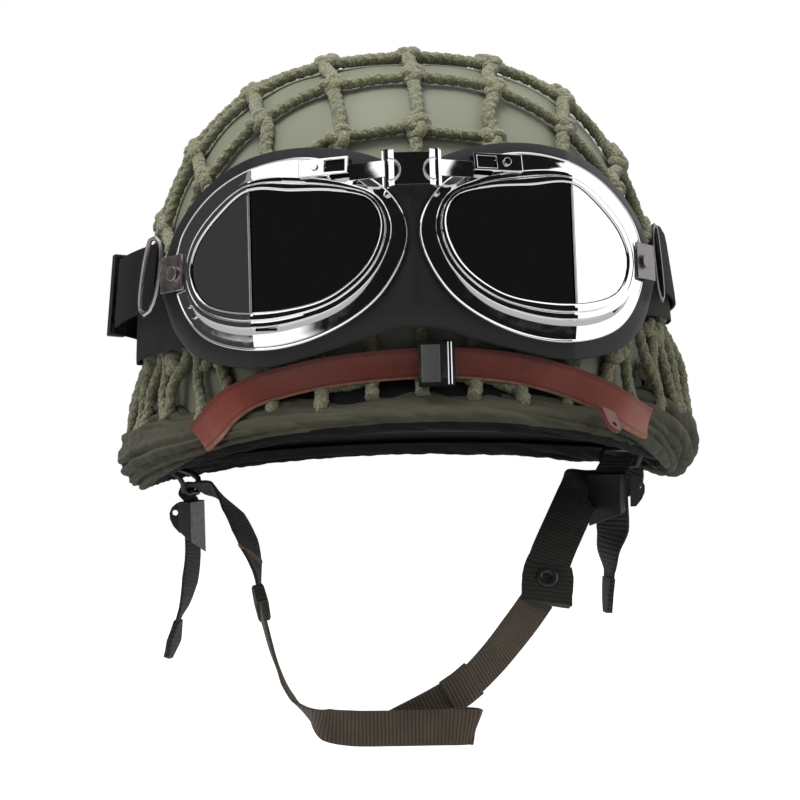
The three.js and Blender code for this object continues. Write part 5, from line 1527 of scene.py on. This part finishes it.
# %% Chin straps
WEBBING_THICK, BAND_WIDTHS = 1.5, (16, 16)
LEFT_WIDTHS = (11, 17.5) + (19,) * 30
RIGHT_WIDTHS = LEFT_WIDTHS[:26] + (20.5, 22, 22.6, 22.6)
ribbon("webbing_left", CHIN_LEFT, LEFT_WIDTHS, WEBBING_THICK, 128, dark_webbing, "webbing",
       "chin_strap_left")
ribbon("webbing_right", CHIN_RIGHT, RIGHT_WIDTHS, WEBBING_THICK, 160, dark_webbing, "webbing",
       "chin_strap_right")
ribbon("webbing_band", CHIN_BAND, BAND_WIDTHS, WEBBING_THICK, 130, brown_webbing, "brown_webbing",
       "chin_band")
ribbon("webbing_back", CHIN_BACK, BAND_WIDTHS, WEBBING_THICK, 70, brown_webbing, "brown_webbing",
       "chin_band_back")

# %% [markdown]
# The free ends are turned over and sewn, two keepers hold the layers together, and the right webbing is
# folded round the snap. A tan stripe is woven across the left webbing. Each is a short ribbon that follows
# its strap and stands a little proud of it.

# %% Folds sewn on the webbing
TIP_WIDTHS = (12, 18, 19.4, 19.4)
FOLDS = [
    # name, stations, widths, thickness, material, slot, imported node
    ("tip_left", CHIN_LEFT[:2] + [(-105.4, -8, -66.6, 0.04, 0.99, 0)],
     TIP_WIDTHS, 3.0, dark_webbing, "webbing", "chin_strap_left"),
    ("tip_right", CHIN_RIGHT[:2] + [(89.6, -8, -53.2, 0.08, -0.98, 0)],
     TIP_WIDTHS, 3.0, dark_webbing, "webbing", "chin_strap_right"),
    ("keeper_left", [(-68.2, -37.2, -54.0, 0.02, 0.9, -0.45), (-67.2, -39.8, -57.4, 0.02, 0.9, -0.47),
                     (-66.2, -42.4, -60.9, 0.02, 0.88, -0.5)],
     (17, 19, 19, 17), 5.6, dark_webbing, "black_hardware", "strap_keeper"),
    ("keeper_back", [(12, -73.6, -98, -0.16, -0.42, 0.88), (18, -72.3, -94.3, -0.25, -0.44, 0.86),
                     (23.6, -70.4, -90.2, -0.33, -0.43, 0.83)],
     (16.9, 16.9), 4.2, brown_webbing, "brown_webbing", "band_keeper"),
    ("snap_fold", [(59.4, -39.5, -45.2, 0.98, 0.05, -0.2), (58.8, -42.6, -51.6, 0.98, 0.1, -0.2),
                   (57.4, -47.6, -61.0, 0.98, 0.1, -0.2)],
     (21, 22.8, 22.8, 21.5), 3.4, dark_webbing, "webbing", "snap_plate"),
    ("thread_stripe", [(-71.95, -23.9, -35.8, 0.35, 0.92, -0.135), (-71.5, -25, -37.2, 0.34, 0.92, -0.14),
                       (-71.2, -25.9, -38.5, 0.31, 0.92, -0.16)],
     (19.1, 19.1), 1.75, tan_thread, "webbing", "chin_strap_left")]
for name, table, widths, thick, material, slot, node in FOLDS:
    ribbon(name, table, widths, thick, 24, material, slot, node)

# %% [markdown]
# ## Floor, light and camera
# The helmet is held up as on a head, so the pale floor lies well below it. Matt things are lit by an even
# studio sky and one large lamp above. The chrome sees another sky: dark where the photographer stands,
# white at the right and at the upper left, grey at the left, because a mirror shows the room and nothing
# else.

# %% Floor
FLOOR_HALF, FLOOR_LEVEL = 12, -0.9
floor_finish, tree, shader = new_material("pale floor", Roughness=0.9)
clouded(tree, shader, coordinates(tree), 3.0, 0.5, (0.72, 0.72, 0.72), (0.70, 0.70, 0.70))
shader.inputs["Emission Color"].default_value = (1, 1, 1, 1)
seen_floor = add_node(tree, "ShaderNodeLightPath").outputs["Is Camera Ray"]
tree.links.new(math_node(tree, "MULTIPLY", seen_floor, 0.75), shader.inputs["Emission Strength"])
floor_mesh = bpy.data.meshes.new("floor")
floor_corners = [(x * FLOOR_HALF, y * FLOOR_HALF, FLOOR_LEVEL)
                 for x, y in ((-1, -1), (1, -1), (1, 1), (-1, 1))]
floor_mesh.from_pydata(floor_corners, [], [(0, 1, 2, 3)])
new_object("floor", floor_mesh, floor_finish)

# %% Sky
world = bpy.data.worlds.new("studio")
bpy.context.scene.world = world
world.use_nodes = True
tree = world.node_tree
tree.nodes.clear()
way = add_node(tree, "ShaderNodeTexCoord").outputs["Generated"]
axis = add_node(tree, "ShaderNodeSeparateXYZ", {0: way})
east, north, up = axis.outputs["X"], axis.outputs["Y"], axis.outputs["Z"]
azimuth = math_node(tree, "ARCTAN2", east, math_node(tree, "MULTIPLY", north, -1.0))


def step_at(value, edge, width=0.02):
    return ranged(tree, value, edge - width, edge + width)


def between(value, low, high):
    before_end = math_node(tree, "SUBTRACT", 1.0, step_at(value, high))
    return math_node(tree, "MULTIPLY", step_at(value, low), before_end)


SKY_PATCHES = [
    # light, azimuth from, to, height from, to; azimuth 0 is behind the photographer, positive at the right
    (1.25, 1.02, 2.6, -0.75, 0.97),
    (1.3, -1.25, -0.36, 0.52, 0.97),
    (1.15, -1.25, -0.54, -0.6, 0.03),
    (1.2, -1.25, -0.95, 0.1, 0.6),
    (0.045, -2.6, -1.25, -0.5, 0.5),
    (0.3, -2.6, -1.3, 0.5, 0.95),
    (0.5, 2.6, 3.2, -0.9, 0.9),
]
DARKEST_SKY, TOP_LIGHT = 0.008, 1.4
mirror_sky = DARKEST_SKY
for light, az0, az1, h0, h1 in SKY_PATCHES:
    inside = math_node(tree, "MULTIPLY", between(azimuth, az0, az1), between(up, h0, h1))
    lit = math_node(tree, "MULTIPLY", inside, light)
    mirror_sky = math_node(tree, "MAXIMUM", mirror_sky, lit)
overhead = math_node(tree, "MULTIPLY", step_at(up, 0.93, 0.03), TOP_LIGHT)
mirror_sky = math_node(tree, "MAXIMUM", mirror_sky, overhead)
matt_low = ranged(tree, up, -1.0, 0.0, 0.10, 0.30)
matt_sky = math_node(tree, "ADD", matt_low, ranged(tree, up, 0.0, 1.0, 0.0, 0.55))
ray = add_node(tree, "ShaderNodeLightPath")
level = add_node(tree, "ShaderNodeMix", data_type="FLOAT")
tree.links.new(ray.outputs["Is Glossy Ray"], level.inputs["Factor"])
tree.links.new(matt_sky, level.inputs[2])
tree.links.new(mirror_sky, level.inputs[3])
seen = add_node(tree, "ShaderNodeMix", data_type="FLOAT")
tree.links.new(ray.outputs["Is Camera Ray"], seen.inputs["Factor"])
tree.links.new(level.outputs[0], seen.inputs[2])
seen.inputs[3].default_value = 1.0
glow = add_node(tree, "ShaderNodeBackground", {"Color": (1, 1, 1, 1), "Strength": seen.outputs[0]})
final = tree.nodes.new("ShaderNodeOutputWorld")
tree.links.new(glow.outputs[0], final.inputs["Surface"])


# %% [markdown]
# Three large soft lamps model the matt surfaces. Mirrors don't see them, because the sky already holds what
# the chrome reflects.


# %% Lamps
def lamp(name, place, target, size, power):
    data = bpy.data.lights.new(name, "AREA")
    data.shape, data.size, data.energy = "DISK", size, power
    obj = bpy.data.objects.new(name, data)
    bpy.context.collection.objects.link(obj)
    aim = Vector(target) - Vector(place)
    obj.matrix_world = Matrix.Translation(place) @ aim.to_track_quat("-Z", "Y").to_matrix().to_4x4()
    obj.visible_glossy = False
    obj.visible_camera = False


lamp("lamp_above", (-0.3, -0.35, 1.2), (0, 0, -0.05), 0.8, 20)
lamp("lamp_right", (1.2, -0.7, 0.35), (0, 0, -0.1), 0.7, 4.5)
lamp("lamp_left", (-1.3, -0.6, 0.3), (0, 0, -0.1), 0.7, 4.5)

# %% [markdown]
# The camera stands a little to the left at the height of the brim, level, and rolled slightly, as the
# outline of the helmet in the picture told.

# %% Camera
CAMERA_DISTANCE, CAMERA_YAW, CAMERA_ROLL, CAMERA_HEIGHT = 1.2, math.radians(2), math.radians(1.6), 29.8
CAMERA_LENS, SENSOR_WIDTH = 118.7, 36
IMAGE_SIZE, SHIFT_PIXELS = 800, -5.5
camera_data = bpy.data.cameras.new("camera")
camera_data.lens, camera_data.sensor_width = CAMERA_LENS, SENSOR_WIDTH
camera_data.shift_x = SHIFT_PIXELS / IMAGE_SIZE
camera_data.dof.use_dof = False
camera = bpy.data.objects.new("camera", camera_data)
bpy.context.collection.objects.link(camera)
stand = Vector((-CAMERA_DISTANCE * math.sin(CAMERA_YAW), -CAMERA_DISTANCE * math.cos(CAMERA_YAW),
                (CAMERA_HEIGHT - CROWN_SEAT) * MM))
camera.matrix_world = (Matrix.Translation(stand) @ Matrix.Rotation(-CAMERA_YAW, 4, "Z")
                       @ Matrix.Rotation(math.pi / 2, 4, "X") @ Matrix.Rotation(-CAMERA_ROLL, 4, "Z"))
bpy.context.scene.camera = camera
bpy.context.scene.view_settings.view_transform = "Standard"
print("camera at", [round(v, 4) for v in stand])
